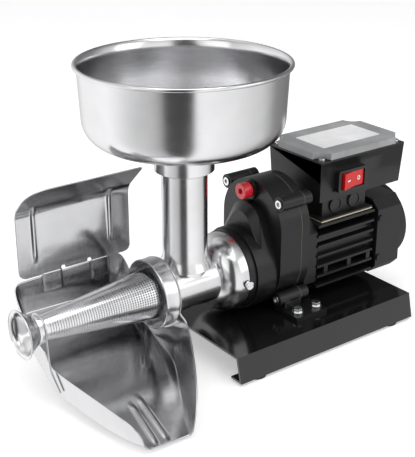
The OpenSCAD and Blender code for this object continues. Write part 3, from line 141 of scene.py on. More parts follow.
def swept_rod(path, radius, sides=12):
    """A round section carried along a path: at each point the circle lies across the path's direction, and its
    ends close to a point."""
    path = np.asarray(path, float)
    along = np.gradient(path, axis=0)
    along /= np.linalg.norm(along, axis=1)[:, None]
    helper = np.array([1.0, 0.013, 0.021])
    u = np.cross(along, helper)
    u /= np.linalg.norm(u, axis=1)[:, None]
    v = np.cross(along, u)
    radii = np.full(len(path), float(radius))
    path = np.concatenate([[path[0] - along[0] * radius * 0.4], path, [path[-1] + along[-1] * radius * 0.4]])
    u, v = np.concatenate([u[:1], u, u[-1:]]), np.concatenate([v[:1], v, v[-1:]])
    radii = np.concatenate([[radius * 0.35], radii, [radius * 0.35]])
    a = np.linspace(0, 2 * np.pi, sides, endpoint=False)
    ring = radii[:, None, None] * (np.cos(a)[None, :, None] * u[:, None] + np.sin(a)[None, :, None] * v[:, None])
    points = (path[:, None] + ring).reshape(-1, 3)
    faces = grid_faces(len(path), sides, close_columns=True).tolist()
    last = len(points) - sides
    faces.append(list(range(sides))[::-1])
    faces.append(list(range(last, last + sides)))
    return points, faces


def joined(parts):
    """Several (points, faces) lists as one."""
    points, faces, start = [], [], 0
    for p, f in parts:
        points.append(np.asarray(p, float))
        faces += [[int(i) + start for i in one] for one in f]
        start += len(p)
    return np.concatenate(points), faces


def outward(obj):
    """Turns every face of a closed mesh outwards."""
    work = bmesh.new()
    work.from_mesh(obj.data)
    bmesh.ops.remove_doubles(work, verts=work.verts, dist=1e-7)
    bmesh.ops.recalc_face_normals(work, faces=work.faces)
    work.to_mesh(obj.data)
    work.free()
    return obj


def refined(name, material, edge=0.3, angle=32, segments=2):
    """The CAD node's own shape with its loose triangles joined, flat faces made whole and edges rounded by
    edge millimetres."""
    mesh = nodes[name].data.copy()
    mesh.name = name + "_fine"
    work = bmesh.new()
    work.from_mesh(mesh)
    bmesh.ops.remove_doubles(work, verts=work.verts, dist=2e-6)
    bmesh.ops.dissolve_limit(work, angle_limit=math.radians(0.6), verts=work.verts, edges=work.edges)
    work.to_mesh(mesh)
    work.free()
    if mesh.has_custom_normals:
        mesh.attributes.remove(mesh.attributes["custom_normal"])
    mesh.shade_smooth()
    mesh.set_sharp_from_angle(angle=math.radians(angle))
    obj = bpy.data.objects.new(name + "_fine", mesh)
    scene.collection.objects.link(obj)
    if edge:
        bevel = obj.modifiers.new("edge", "BEVEL")
        bevel.width = edge * MM
        bevel.segments = segments
        bevel.limit_method = "ANGLE"
        bevel.angle_limit = math.radians(angle)
        bevel.use_clamp_overlap = True
        bevel.harden_normals = True
    return stands_for(obj, material, name)


# ---------- materials ----------

def material_nodes(name):
    """A new material's node tree and its shader."""
    material = bpy.data.materials.new(name)
    material.use_nodes = True
    tree = material.node_tree
    return material, tree, tree.nodes["Principled BSDF"]


def object_mapping(tree, scale):
    """Object coordinates, stretched by the scale on each axis."""
    coordinates = tree.nodes.new("ShaderNodeTexCoord")
    mapping = tree.nodes.new("ShaderNodeMapping")
    mapping.inputs["Scale"].default_value = scale
    tree.links.new(coordinates.outputs["Object"], mapping.inputs["Vector"])
    return mapping.outputs["Vector"]


def noise(tree, vector, scale, detail=3.0, roughness=0.55):
    """A noise pattern on a vector."""
    texture = tree.nodes.new("ShaderNodeTexNoise")
    texture.inputs["Scale"].default_value = scale
    texture.inputs["Detail"].default_value = detail
    texture.inputs["Roughness"].default_value = roughness
    tree.links.new(vector, texture.inputs["Vector"])
    return texture.outputs["Fac"]


def ramp(tree, value, stops):
    """Colours against a value; each stop is (place, grey level or colour)."""
    node = tree.nodes.new("ShaderNodeValToRGB")
    elements = node.color_ramp.elements
    while len(elements) < len(stops):
        elements.new(0.5)
    for element, (place, colour) in zip(elements, stops):
        element.position = place
        element.color = (colour,) * 3 + (1,) if isinstance(colour, (int, float)) else tuple(colour) + (1,)
    tree.links.new(value, node.inputs["Fac"])
    return node.outputs["Color"]


def bump(tree, shader, height, strength, distance):
    """Small relief from a height pattern."""
    node = tree.nodes.new("ShaderNodeBump")
    node.inputs["Strength"].default_value = strength
    node.inputs["Distance"].default_value = distance
    tree.links.new(height, node.inputs["Height"])
    tree.links.new(node.outputs["Normal"], shader.inputs["Normal"])


def steel(name, tint, rough, grain, grain_scale=(1, 1, 1), depth=0.00002, smudge=0.05):
    """Stainless steel: fine grain stretched along the way it was polished, and faint uneven patches."""
    material, tree, shader = material_nodes(name)
    shader.inputs["Metallic"].default_value = 1.0
    fine = noise(tree, object_mapping(tree, grain_scale), grain, 2.0)
    patch = noise(tree, object_mapping(tree, (1, 1, 1)), 14.0, 4.0)
    low, high = [c * 0.94 for c in tint], [min(1.0, c * 1.04) for c in tint]
    tree.links.new(ramp(tree, patch, [(0.35, low), (0.65, high)]), shader.inputs["Base Color"])
    mix = tree.nodes.new("ShaderNodeMath")
    mix.operation = "MULTIPLY"
    tree.links.new(fine, mix.inputs[0])
    tree.links.new(patch, mix.inputs[1])
    rough_map = ramp(tree, mix.outputs[0], [(0.12, max(0.03, rough - smudge)), (0.42, rough + smudge)])
    tree.links.new(rough_map, shader.inputs["Roughness"])
    bump(tree, shader, fine, 0.35, depth)
    return material


def enamel(name, colour, rough, coat, pebble=900.0, depth=0.00003):
    """Painted or cast surface: slight orange peel, and patches where the gloss changes."""
    material, tree, shader = material_nodes(name)
    peel = noise(tree, object_mapping(tree, (1, 1, 1)), pebble, 2.0)
    patch = noise(tree, object_mapping(tree, (1, 1, 1)), 22.0, 4.0)
    low, high = [c * 0.8 for c in colour], [min(1.0, c * 1.25) for c in colour]
    tree.links.new(ramp(tree, patch, [(0.3, low), (0.7, high)]), shader.inputs["Base Color"])
    tree.links.new(ramp(tree, patch, [(0.3, rough * 0.85), (0.75, rough * 1.2)]), shader.inputs["Roughness"])
    shader.inputs["Specular IOR Level"].default_value = 0.3
    shader.inputs["Coat Weight"].default_value = coat
    shader.inputs["Coat Roughness"].default_value = 0.12
    bump(tree, shader, peel, 0.3, depth)
    return material


def moulded(name, colour, rough, grain=1400.0, depth=0.00004, subsurface=0.0, coat=0.0):
    """Moulded plastic or rubber with a fine spark-eroded grain."""
    material, tree, shader = material_nodes(name)
    fine = noise(tree, object_mapping(tree, (1, 1, 1)), grain, 3.0)
    patch = noise(tree, object_mapping(tree, (1, 1, 1)), 30.0, 3.0)
    low, high = [c * 0.88 for c in colour], [min(1.0, c * 1.1) for c in colour]
    tree.links.new(ramp(tree, patch, [(0.3, low), (0.7, high)]), shader.inputs["Base Color"])
    tree.links.new(ramp(tree, fine, [(0.3, rough * 0.9), (0.7, rough * 1.12)]), shader.inputs["Roughness"])
    shader.inputs["Subsurface Weight"].default_value = subsurface
    shader.inputs["Subsurface Scale"].default_value = 0.002
    shader.inputs["Coat Weight"].default_value = coat
    bump(tree, shader, fine, 0.4, depth)
    return material


bowl_steel = steel("bowl_steel", (0.68, 0.68, 0.69), 0.19, 26.0, (1, 1, 60))
neck_steel = steel("neck_steel", (0.7, 0.7, 0.71), 0.22, 24.0, (1, 1, 50))
tube_steel = steel("tube_steel", (0.7, 0.7, 0.71), 0.2, 24.0, (50, 1, 1))
sheet_steel = steel("sheet_steel", (0.6, 0.6, 0.61), 0.17, 60.0, (1, 4, 1), 0.00001, 0.04)
guard_steel = steel("guard_steel", (0.6, 0.6, 0.61), 0.2, 60.0, (4, 1, 1), smudge=0.04)
sieve_steel = steel("sieve_steel", (0.74, 0.74, 0.75), 0.2, 24.0, (50, 1, 1))
wire_steel = steel("wire_steel", (0.62, 0.62, 0.63), 0.2, 700.0)
zinc_plate = steel("zinc_plate", (0.78, 0.79, 0.8), 0.24, 500.0)
ground_steel = steel("ground_steel", (0.55, 0.56, 0.58), 0.28, 400.0, (8, 1, 1))
core_steel = steel("core_steel", (0.32, 0.32, 0.34), 0.45, 30.0, (60, 1, 1))
bronze = steel("bronze", (0.6, 0.42, 0.16), 0.3, 300.0)
copper = enamel("copper_winding", (0.42, 0.16, 0.06), 0.4, 0.3, 1600.0, 0.0001)
cast_black = enamel("cast_black", (0.008, 0.008, 0.0085), 0.36, 0.12, 700.0, 0.00004)
gloss_black = enamel("gloss_black", (0.006, 0.006, 0.0065), 0.14, 0.6, 900.0, 0.00001)
cover_black = enamel("cover_black", (0.012, 0.012, 0.013), 0.38, 0.1, 800.0, 0.00003)
lid_grey = enamel("lid_grey", (0.3, 0.305, 0.31), 0.42, 0.15, 900.0, 0.00002)
box_black = moulded("box_black", (0.009, 0.009, 0.0095), 0.44)
dark_plastic = moulded("dark_plastic", (0.009, 0.009, 0.01), 0.4)
frame_rubber = moulded("frame_rubber", (0.006, 0.006, 0.006), 0.34, coat=0.1)
rubber = moulded("rubber", (0.02, 0.02, 0.02), 0.7, 900.0, 0.0001)
plug_red = moulded("plug_red", (0.72, 0.02, 0.035), 0.28, 900.0, 0.00002, 0.1, 0.4)
rocker_red = moulded("rocker_red", (0.55, 0.006, 0.006), 0.3, 900.0, 0.00001, 0.1, 0.2)
fibre = moulded("fibre", (0.1, 0.085, 0.07), 0.85, 1200.0, 0.0001)
pale_cork = moulded("pale_cork", (0.62, 0.56, 0.42), 0.8, 1000.0, 0.0002)
nylon = moulded("nylon", (0.74, 0.73, 0.68), 0.4, 900.0, 0.00003, 0.2)
label_white = moulded("label_white", (0.82, 0.82, 0.83), 0.5, 1500.0, 0.00001)
mark_white = moulded("mark_white", (0.85, 0.85, 0.85), 0.45, 1500.0, 0.00001)


def lid_finish():
    """The lid's grey enamel on its raised top, and black below it, where the thin plate lies on the box."""
    material = enamel("lid_two_tone", (0.3, 0.305, 0.31), 0.42, 0.15, 900.0, 0.00002)
    tree = material.node_tree
    shader = tree.nodes["Principled BSDF"]
    plate_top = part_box("lid_screws")[1].z - 2.6 * MM
    split = tree.nodes.new("ShaderNodeSeparateXYZ")
    tree.links.new(object_mapping(tree, (1, 1, 1)), split.inputs[0])
    above = tree.nodes.new("ShaderNodeMath")
    above.operation = "GREATER_THAN"
    above.inputs[1].default_value = plate_top + 0.5 * MM
    tree.links.new(split.outputs["Z"], above.inputs[0])
    mix = tree.nodes.new("ShaderNodeMix")
    mix.data_type = "RGBA"
    mix.inputs[6].default_value = (0.009, 0.009, 0.0095, 1)
    tree.links.new(above.outputs[0], mix.inputs["Factor"])
    tree.links.new(shader.inputs["Base Color"].links[0].from_socket, mix.inputs[7])
    tree.links.new(mix.outputs[2], shader.inputs["Base Color"])
    return material


SLOT_MATERIALS = {
    "black_paint": gloss_black, "black_cast": cast_black, "black_plastic": dark_plastic, "grey_lid": lid_grey,
    "red_plastic": plug_red, "red_rocker": rocker_red, "polished_steel": neck_steel, "spring_wire": wire_steel,
    "zinc_steel": zinc_plate, "bearing_steel": ground_steel, "core_steel": core_steel, "gear_brass": bronze,
    "copper_winding": copper, "black_rubber": rubber, "gasket": fibre, "pale_gasket": pale_cork,
    "white_plastic": nylon, "blank_plate": label_white,
}
for node_name, node_object in nodes.items():
    node_object.data.materials.clear()
    node_object.data.materials.append(SLOT_MATERIALS[slot_of_node[node_name]])

# ---------- pieces that keep the CAD shape, with rounded edges ----------

refined("base_channel", gloss_black, 1.0, segments=3)
refined("gear_housing", cast_black, 1.0, 28, 3)
refined("case_gasket", fibre, 0)
refined("gear_back_plate", cast_black, 0.8)
refined("case_screws", zinc_plate, 0.3)
refined("oil_plug", plug_red, 0.8, 32, 3)
refined("nose_ring", cast_black, 0.6)
refined("motor_frame", cast_black, 0.5)
refined("fan_cover", cover_black, 0.6)
refined("fan_cover_screws", cast_black, 0.3)
refined("terminal_box", box_black, 1.2, 32, 3)
refined("box_gasket", pale_cork, 0.2)
refined("box_lid", lid_finish(), 0.8, 32, 3)
refined("lid_screws", zinc_plate, 0.3)
refined("rating_plate", label_white, 0)
refined("knockout_plugs", dark_plastic, 0.5)
refined("cable_gland", dark_plastic, 0.4)
refined("switch_frame", frame_rubber, 1.2, 32, 3)
refined("switch_rocker", rocker_red, 0.7, 25, 3)
refined("mounting_bolts", zinc_plate, 0.3)
refined("mounting_washers", zinc_plate, 0.2)
refined("rubber_feet", rubber, 0.6)
refined("strainer_head", neck_steel, 0.5)
refined("lock_screw", zinc_plate, 0.3)
refined("feed_screw", dark_plastic, 0)

# ---------- marks on the rocker ----------

def rocker_mark(name, along_face, outline, hole=None):
    """A thin raised mark: an outline, with a hole or without, lifted a little off the rocker's face. The face
    turns about the rocker's pivot with it."""
    low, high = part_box("switch_frame")
    pivot = np.array([(low.x + high.x) / 2, low.y + 4.5 * MM, (low.z + high.z) / 2])
    turn, slope = math.radians(9), math.atan2(1.5, 17.6) * (-1 if along_face > 0 else 1)
    face = np.array([along_face * MM, (-4.0 - abs(along_face) * 1.5 / 17.6) * MM])
    spin = np.array([[math.cos(turn), -math.sin(turn)], [math.sin(turn), math.cos(turn)]])
    centre = spin @ face
    along = spin @ np.array([math.cos(slope), math.sin(slope)])
    out = np.array([along[1], -along[0]])
    loops = [outline] if hole is None else [outline, hole]
    points, count = [], len(outline)
    for loop_points in loops:
        for lift in (-0.1, 0.15):
            for s, z in loop_points:
                spot = centre + along * s * MM + out * lift * MM
                points.append((pivot[0] + spot[0], pivot[1] + spot[1], pivot[2] + z * MM))
    i = np.arange(count)
    j = (i + 1) % count
    faces = np.stack([i, j, j + count, i + count], -1).tolist()
    if hole is None:
        faces += [list(range(count))[::-1], list(range(count, 2 * count))]
    else:
        inner = 2 * count
        faces += np.stack([i + inner + count, j + inner + count, j + inner, i + inner], -1).tolist()
        faces += np.stack([i + count, j + count, j + inner + count, i + inner + count], -1).tolist()
        faces += np.stack([i + inner, j + inner, j, i], -1).tolist()
    return rides_with(outward(new_object(name, points, faces)), mark_white, "switch_rocker")


rocker_mark("rocker_bar", -9.0, [(-2.6, -0.8), (2.6, -0.8), (2.6, 0.8), (-2.6, 0.8)])
rocker_mark("rocker_ring", 9.0, arc((0, 0), 2.7, 0, 345, 24) * [0.85, 1], arc((0, 0), 1.7, 0, 345, 24) * [0.85, 1])

# ---------- bowl ----------

BOWL_R, BEAD_R, WALL_T, BOWL_TOP = 115.0, 2.2, 1.2, 304.0
SOCKET_TOP, SOCKET_FLOOR, CORNER_R = 214.0, 188.0, 28.0


def feed_bowl():
    """Radius against height: up the outlet, out along the dished floor, round the corner, up the wall and over a
    rolled bead, then back down the inside one wall thickness away; turned about the neck's axis."""
    wall = BOWL_R - 2 * BEAD_R
    corner = (wall - 2.5 - CORNER_R, SOCKET_TOP + 4 + CORNER_R)
    outlet = 30.0
    bead = (BOWL_R - BEAD_R, BOWL_TOP - BEAD_R)
    lean = np.linspace([wall - 2.5, corner[1]], [wall, bead[1] - 1.0], 8)[1:]
    outer = np.concatenate([
        [[outlet - WALL_T, SOCKET_FLOOR], [outlet, SOCKET_FLOOR], [outlet, SOCKET_TOP - 0.5]],
        [[outlet + 1.2, SOCKET_TOP + 0.2], [34.8, SOCKET_TOP + 0.4]],
        arc(corner, CORNER_R, -88, 0, 16), lean, arc(bead, BEAD_R, -170, 170, 16),
    ])
    inner = np.concatenate([
        (lean - [WALL_T, 0])[::-1], arc(corner, CORNER_R - WALL_T, 0, -88, 16),
        [[34.8, SOCKET_TOP + 0.4 + WALL_T], [outlet + 0.5, SOCKET_TOP + WALL_T],
         [outlet - WALL_T, SOCKET_TOP - 1.0]],
    ])
    points, faces = turned(np.concatenate([outer, inner]), "z", (0, 0, 0), 160)
    return outward(new_object("feed_bowl_fine", points, faces, 50))


stands_for(feed_bowl(), bowl_steel, "feed_bowl")

# ---------- perforated cone ----------

AXIS_Z = 50.0
SIEVE_X0, SIEVE_LEN, SIEVE_R0, SIEVE_R1 = -44.0, 138.0, 28.4, 13.7


def perforated_cone(columns=64, rows=46):
    """Angle against distance along the cone, cut into cells. Each cell is a square with a round hole in it: the
    hole's corners and the square's corners are joined by quads, and cells share the corners of their squares.
    A plain band closes each end, and the inner wall is the same surface one thickness further in."""
    wall = 0.7
    start, stop = SIEVE_X0 - 5.0, SIEVE_X0 - SIEVE_LEN + 3.0
    along = np.linspace(start, stop, rows + 1)
    around = np.arange(columns) * 2 * np.pi / columns

    def on_cone(x, a, inset=0.0):
        t = np.clip((SIEVE_X0 - 5.0 - x) / (SIEVE_LEN - 5.0), 0, 1)
        r = SIEVE_R0 + (SIEVE_R1 - SIEVE_R0) * t - inset
        return np.stack([x + 0 * a, r * np.sin(a), AXIS_Z + r * np.cos(a)], -1)

    a_step, x_step = around[1], along[1] - along[0]
    ca, cx = np.meshgrid(around + a_step / 2, (along[:-1] + along[1:]) / 2, indexing="ij")
    t = (start - cx) / (SIEVE_LEN - 5.0)
    radius = SIEVE_R0 + (SIEVE_R1 - SIEVE_R0) * t
    hole = 0.36 * np.minimum(radius * a_step, abs(x_step) * 0.92)
    k = np.arange(8)
    da, dx = np.cos(k * np.pi / 4 + np.pi / 8), np.sin(k * np.pi / 4 + np.pi / 8)
    hole_a = ca[..., None] + hole[..., None] * da / radius[..., None]
    hole_x = cx[..., None] + hole[..., None] * dx
    square_a = ca[..., None] + np.array([1, -1, -1, 1]) * a_step / 2
    square_x = cx[..., None] + np.array([1, 1, -1, -1]) * abs(x_step) / 2
    shells = []
    for inset in (0.0, wall):
        cell_x, cell_a = np.concatenate([square_x, hole_x], -1), np.concatenate([square_a, hole_a], -1)
        shells.append(on_cone(cell_x, cell_a, inset))
    cells = columns * rows
    points = np.stack(shells, 2).reshape(-1, 3)
    # in each cell: outer 0..11, inner 12..23; 0..3 the square's corners, 4..11 the hole's
    ring = [(0, 4, 5), (0, 5, 6, 1), (1, 6, 7), (1, 7, 8, 2), (2, 8, 9), (2, 9, 10, 3), (3, 10, 11), (3, 11, 4, 0)]
    faces = []
    base = (np.arange(cells) * 24)[:, None]
    for f in ring:
        f = np.array(f)
        faces += (base + f[::-1]).tolist() + (base + 12 + f).tolist()
    for i in range(8):
        a, b = 4 + i, 4 + (i + 1) % 8
        faces += (base + np.array([a, a + 12, b + 12, b])).tolist()
    holes = (points, faces)
    end_r = SIEVE_R1 - wall
    head = np.array([[SIEVE_R0, start], [SIEVE_R0, SIEVE_X0 + 0.8], [37.4, SIEVE_X0 + 0.8], [37.4, SIEVE_X0 + 1.9],
                     [SIEVE_R0 - wall, SIEVE_X0 + 1.9], [SIEVE_R0 - wall, start]])
    t_end = (SIEVE_LEN - 8.0) / (SIEVE_LEN - 5.0)
    r_end = SIEVE_R0 + (SIEVE_R1 - SIEVE_R0) * t_end
    tail = np.array([[r_end - wall, stop], [end_r, SIEVE_X0 - SIEVE_LEN], [end_r, SIEVE_X0 - SIEVE_LEN - 6],
                     [SIEVE_R1, SIEVE_X0 - SIEVE_LEN - 6], [SIEVE_R1, SIEVE_X0 - SIEVE_LEN], [r_end, stop]])
    a = np.arange(columns) * a_step
    bands = []
    for profile in (head, tail):
        r, x = profile[:, 0][:, None], profile[:, 1][:, None] + 0 * a
        band = np.stack([x, r * np.sin(a), AXIS_Z + r * np.cos(a)], -1).reshape(-1, 3)
        bands.append((band, grid_faces(len(profile), columns, close_columns=True)))
    points, faces = joined([holes] + bands)
    return outward(new_object("sieve_cone_fine", placed(points), faces, 40))


stands_for(perforated_cone(), sieve_steel, "sieve_cone")

# ---------- rings and mouth of the sieve ----------


def sieve_ring():
    """Radius against distance along the axis: a rolled collar round the sieve's wide end, turned about it."""
    r, x0, x1 = 39.7, -52.0, -34.0
    profile = np.concatenate([
        [[r - 2, x0 + 1.2]], arc((r - 1.0, x0 + 1.0), 1.0, 200, 340, 6),
        [[r, x0 + 1.6], [r - 0.5, x0 + 5], [r - 0.5, x1 - 5], [r, x1 - 2.2]],
        arc((r - 2.0, x1 - 2.0), 2.0, 0, 90, 6), [[29.3, x1], [29.3, x1 - 2], [r - 2.6, x1 - 2]],
    ])
    points, faces = turned(profile, "x", (0, 0, AXIS_Z), 128)
    return outward(new_object("sieve_ring_fine", points, faces, 35))


stands_for(sieve_ring(), tube_steel, "sieve_ring")


def waste_nozzle():
    """Radius against distance along the axis: a flared mouth with a rolled lip, a narrow waist and a short collar
    over the sieve's end, turned about the axis."""
    x0, x1, r1, mouth = -207.0, -188.0, 13.7, 27.0
    outside = smooth_path([[mouth - 0.2, x0 + 1.4], [mouth - 2.6, x0 + 3.2], [21.5, x0 + 8.0],
                           [r1 + 3.4, x1 - 5.2],
                           [r1 + 1.6, x1 - 2.4]], 6)
    inside = smooth_path([[r1 - 2.3, x1 - 1.5], [r1 - 2.2, x1 - 4], [19.5, x0 + 8.0], [mouth - 4.4, x0 + 2.6],
                          [mouth - 1.7, x0 + 0.8]], 6)
    profile = np.concatenate([
        arc((mouth - 0.9, x0 + 0.9), 0.9, -140, 60, 8), outside,
        [[r1 + 2.2, x1 - 0.6], [r1 + 2.2, x1 + 4.6], [r1 + 1.7, x1 + 5], [r1 + 0.1, x1 + 5], [r1 + 0.1, x1],
         [r1 - 2.3, x1]], inside,
    ])
    points, faces = turned(profile, "x", (0, 0, AXIS_Z), 96)
    return outward(new_object("waste_nozzle_fine", points, faces, 35))


stands_for(waste_nozzle(), tube_steel, "waste_nozzle")

# ---------- juice chute ----------

CHUTE_X0, CHUTE_X1, CHUTE_Y1, SPOUT_Y, SPOUT_Z, SPOUT_W, FAR_Z = -185.0, -38.0, 61.0, -158.0, -28.5, 46.0, 79.0
CHUTE_T = 1.2
SIEVE_CLEAR_R = 42.5


def between(a, b, t):
    """The value a share t of the way from a to b."""
    return a + (b - a) * t


def chute_sides():
    """Foot and top edge of the left and right walls, from the spout to the far corners and back."""
    sx0, sx1, clear = -104.0 - SPOUT_W, -104.0, SIEVE_CLEAR_R
    left_foot = [
        [sx0, SPOUT_Y + 6, SPOUT_Z + 2], [sx0, SPOUT_Y + 12, SPOUT_Z + 1.5],
        [between(sx0, CHUTE_X0, 0.25), 0.85 * SPOUT_Y, SPOUT_Z + 2],
        [between(sx0, CHUTE_X0, 0.65), 0.6 * SPOUT_Y, SPOUT_Z + 8],
        [CHUTE_X0 + 4, 0.22 * SPOUT_Y, -16], [CHUTE_X0 + 3, -15, -12], [CHUTE_X0 + 3, -6, -6],
        [CHUTE_X0 + 3, 9, 2], [CHUTE_X0 + 3, 24, 12], [CHUTE_X0 + 3, CHUTE_Y1 - 18, 27],
        [CHUTE_X0 + 8, CHUTE_Y1 - 3, 40]]
    left_top = [
        [sx0 - 7, SPOUT_Y + 6, SPOUT_Z + 5], [sx0 - 9, SPOUT_Y + 7, SPOUT_Z + 20],
        [between(sx0 - 9, CHUTE_X0, 0.3), 0.9 * SPOUT_Y, 4],
        [between(sx0 - 9, CHUTE_X0, 0.65), 0.54 * SPOUT_Y, 9],
        [CHUTE_X0, 0.12 * SPOUT_Y, 13], [CHUTE_X0, -15, 22], [CHUTE_X0, -10, 31], [CHUTE_X0, 8, 31.5],
        [CHUTE_X0, 24, 40], [CHUTE_X0, CHUTE_Y1 - 17, 58], [CHUTE_X0 + 2, CHUTE_Y1 - 1, FAR_Z - 3]]
    right_foot = [
        [CHUTE_X1 - 12, CHUTE_Y1 - 3, 38], [CHUTE_X1 - 5, CHUTE_Y1 - 18, 24], [CHUTE_X1 - 6, 24, 9],
        [CHUTE_X1 - 6, 9, 1], [CHUTE_X1 - 6, -8, -7], [CHUTE_X1 - 6, -24, -11], [CHUTE_X1 - 8, -42, -15],
        [between(CHUTE_X1, sx1, 0.25), 0.38 * SPOUT_Y, -18],
        [between(CHUTE_X1, sx1, 0.62), 0.66 * SPOUT_Y, SPOUT_Z + 7],
        [between(CHUTE_X1, sx1, 0.92), 0.88 * SPOUT_Y, SPOUT_Z + 2], [sx1, SPOUT_Y + 5, SPOUT_Z]]

    def round_ring(y):
        return AXIS_Z - math.sqrt(clear * clear - y * y)

    right_top = [
        [CHUTE_X1 - 6, CHUTE_Y1, FAR_Z], [CHUTE_X1, clear + 4, AXIS_Z - 8], [CHUTE_X1, 25, round_ring(25)],
        [CHUTE_X1, 9, round_ring(9)], [CHUTE_X1, -8, round_ring(8)], [CHUTE_X1, -24, round_ring(24)],
        [CHUTE_X1 + 1, -52, 38], [CHUTE_X1 - 4, 0.42 * SPOUT_Y, 31],
        [between(CHUTE_X1, sx1, 0.42), 0.69 * SPOUT_Y, 20], [between(CHUTE_X1, sx1, 0.78), 0.93 * SPOUT_Y, 4],
        [sx1 + 1, SPOUT_Y, SPOUT_Z + 8]]
    return [np.array(side, float) for side in (left_foot, left_top, right_foot, right_top)]


def pressed_line(points, start, end, width, height):
    """Height of a pressed line at each point: a rounded bump across the line and a taper at its ends."""
    start, end = np.array(start[:2], float), np.array(end[:2], float)
    along = end - start
    length = np.linalg.norm(along)
    t = np.clip(((points[:, :2] - start) @ along) / length**2, 0, 1)
    away = np.linalg.norm(points[:, :2] - start - t[:, None] * along, axis=1)
    across = np.exp(-(away / width) ** 2)
    return height * across * np.clip(np.minimum(t, 1 - t) * 8, 0, 1)


def juice_chute():
    """A floor of straight lines between the feet of its side walls, and walls of straight lines from foot to top
    edge round three sides. The joined net is smoothed, pressed lines are added as small bumps, and the sheet
    gets its thickness outwards."""
    left_foot, left_top, right_foot, right_top = chute_sides()
    n, across, high = len(left_foot) - 1, 10, 4
    right_foot, right_top = right_foot[::-1], right_top[::-1]
    share = np.linspace(0, 1, across + 1)[:, None]
    floor_net = left_foot[:, None] * (1 - share) + right_foot[:, None] * share
    stations = [(left_foot[j], left_top[j]) for j in range(n + 1)]
    for i in range(1, across):
        stations.append((floor_net[n, i], between(left_top[n], right_top[n], i / across)))
    stations += [(right_foot[j], right_top[j]) for j in range(n, -1, -1)]
    foot = np.array([s[0] for s in stations])
    top = np.array([s[1] for s in stations])
    rows = np.linspace(0, 1, high + 1)[1:, None, None]
    walls = foot[None] * (1 - rows) + top[None] * rows
    points = np.concatenate([floor_net.reshape(-1, 3), walls.reshape(-1, 3)])
    faces = grid_faces(n + 1, across + 1).tolist()
    count, k = (n + 1) * (across + 1), len(stations)
    foot_index = [j * (across + 1) for j in range(n + 1)] + [n * (across + 1) + i for i in range(1, across)]
    foot_index += [j * (across + 1) + across for j in range(n, -1, -1)]
    for i in range(k - 1):
        faces.append([foot_index[i], foot_index[i + 1], count + i + 1, count + i])
        for r in range(high - 1):
            a = count + r * k + i
            faces.append([a, a + 1, a + 1 + k, a + k])
    mesh = bpy.data.meshes.new("chute_net")
    mesh.from_pydata(points.tolist(), [], faces)
    net = bpy.data.objects.new("chute_net", mesh)
    scene.collection.objects.link(net)
    crease = mesh.attributes.new("crease_edge", "FLOAT", "EDGE")
    feet = set(foot_index)
    values = [0.55 if a in feet and b in feet and abs(foot_index.index(a) - foot_index.index(b)) == 1 else 0.0
              for a, b in (e.vertices for e in mesh.edges)]
    crease.data.foreach_set("value", values)
    smooth = net.modifiers.new("smooth", "SUBSURF")
    smooth.levels = smooth.render_levels = 3
    smooth.boundary_smooth = "ALL"
    shape = bpy.data.meshes.new_from_object(net.evaluated_get(bpy.context.evaluated_depsgraph_get()))
    bpy.data.objects.remove(net)
    spots = np.zeros(len(shape.vertices) * 3)
    shape.vertices.foreach_get("co", spots)
    spots = spots.reshape(-1, 3)
    normals = np.zeros(len(shape.vertices) * 3)
    shape.vertices.foreach_get("normal", normals)
    level = np.abs(normals.reshape(-1, 3)[:, 2]) > 0.6
    lift = pressed_line(spots, (-128, -82), (-141, -150), 2.2, 1.6)
    lift = np.maximum(lift, pressed_line(spots, (-115.5, -74.4), (-128, -150), 2.2, 1.6))
    lift = np.maximum(lift, pressed_line(spots, (-50, 13), (-84, -44), 2.6, 1.4))
    spots[:, 2] += lift * level
    shape.vertices.foreach_set("co", placed(spots).ravel())
    shape.name = "juice_chute_fine"
    shape.shade_smooth()
    obj = bpy.data.objects.new("juice_chute_fine", shape)
    scene.collection.objects.link(obj)
    thick = obj.modifiers.new("sheet", "SOLIDIFY")
    thick.thickness = CHUTE_T * MM
    thick.offset = 0.0
    thick.use_even_offset = True
    return obj


stands_for(juice_chute(), sheet_steel, "juice_chute")

# ---------- splash guard ----------


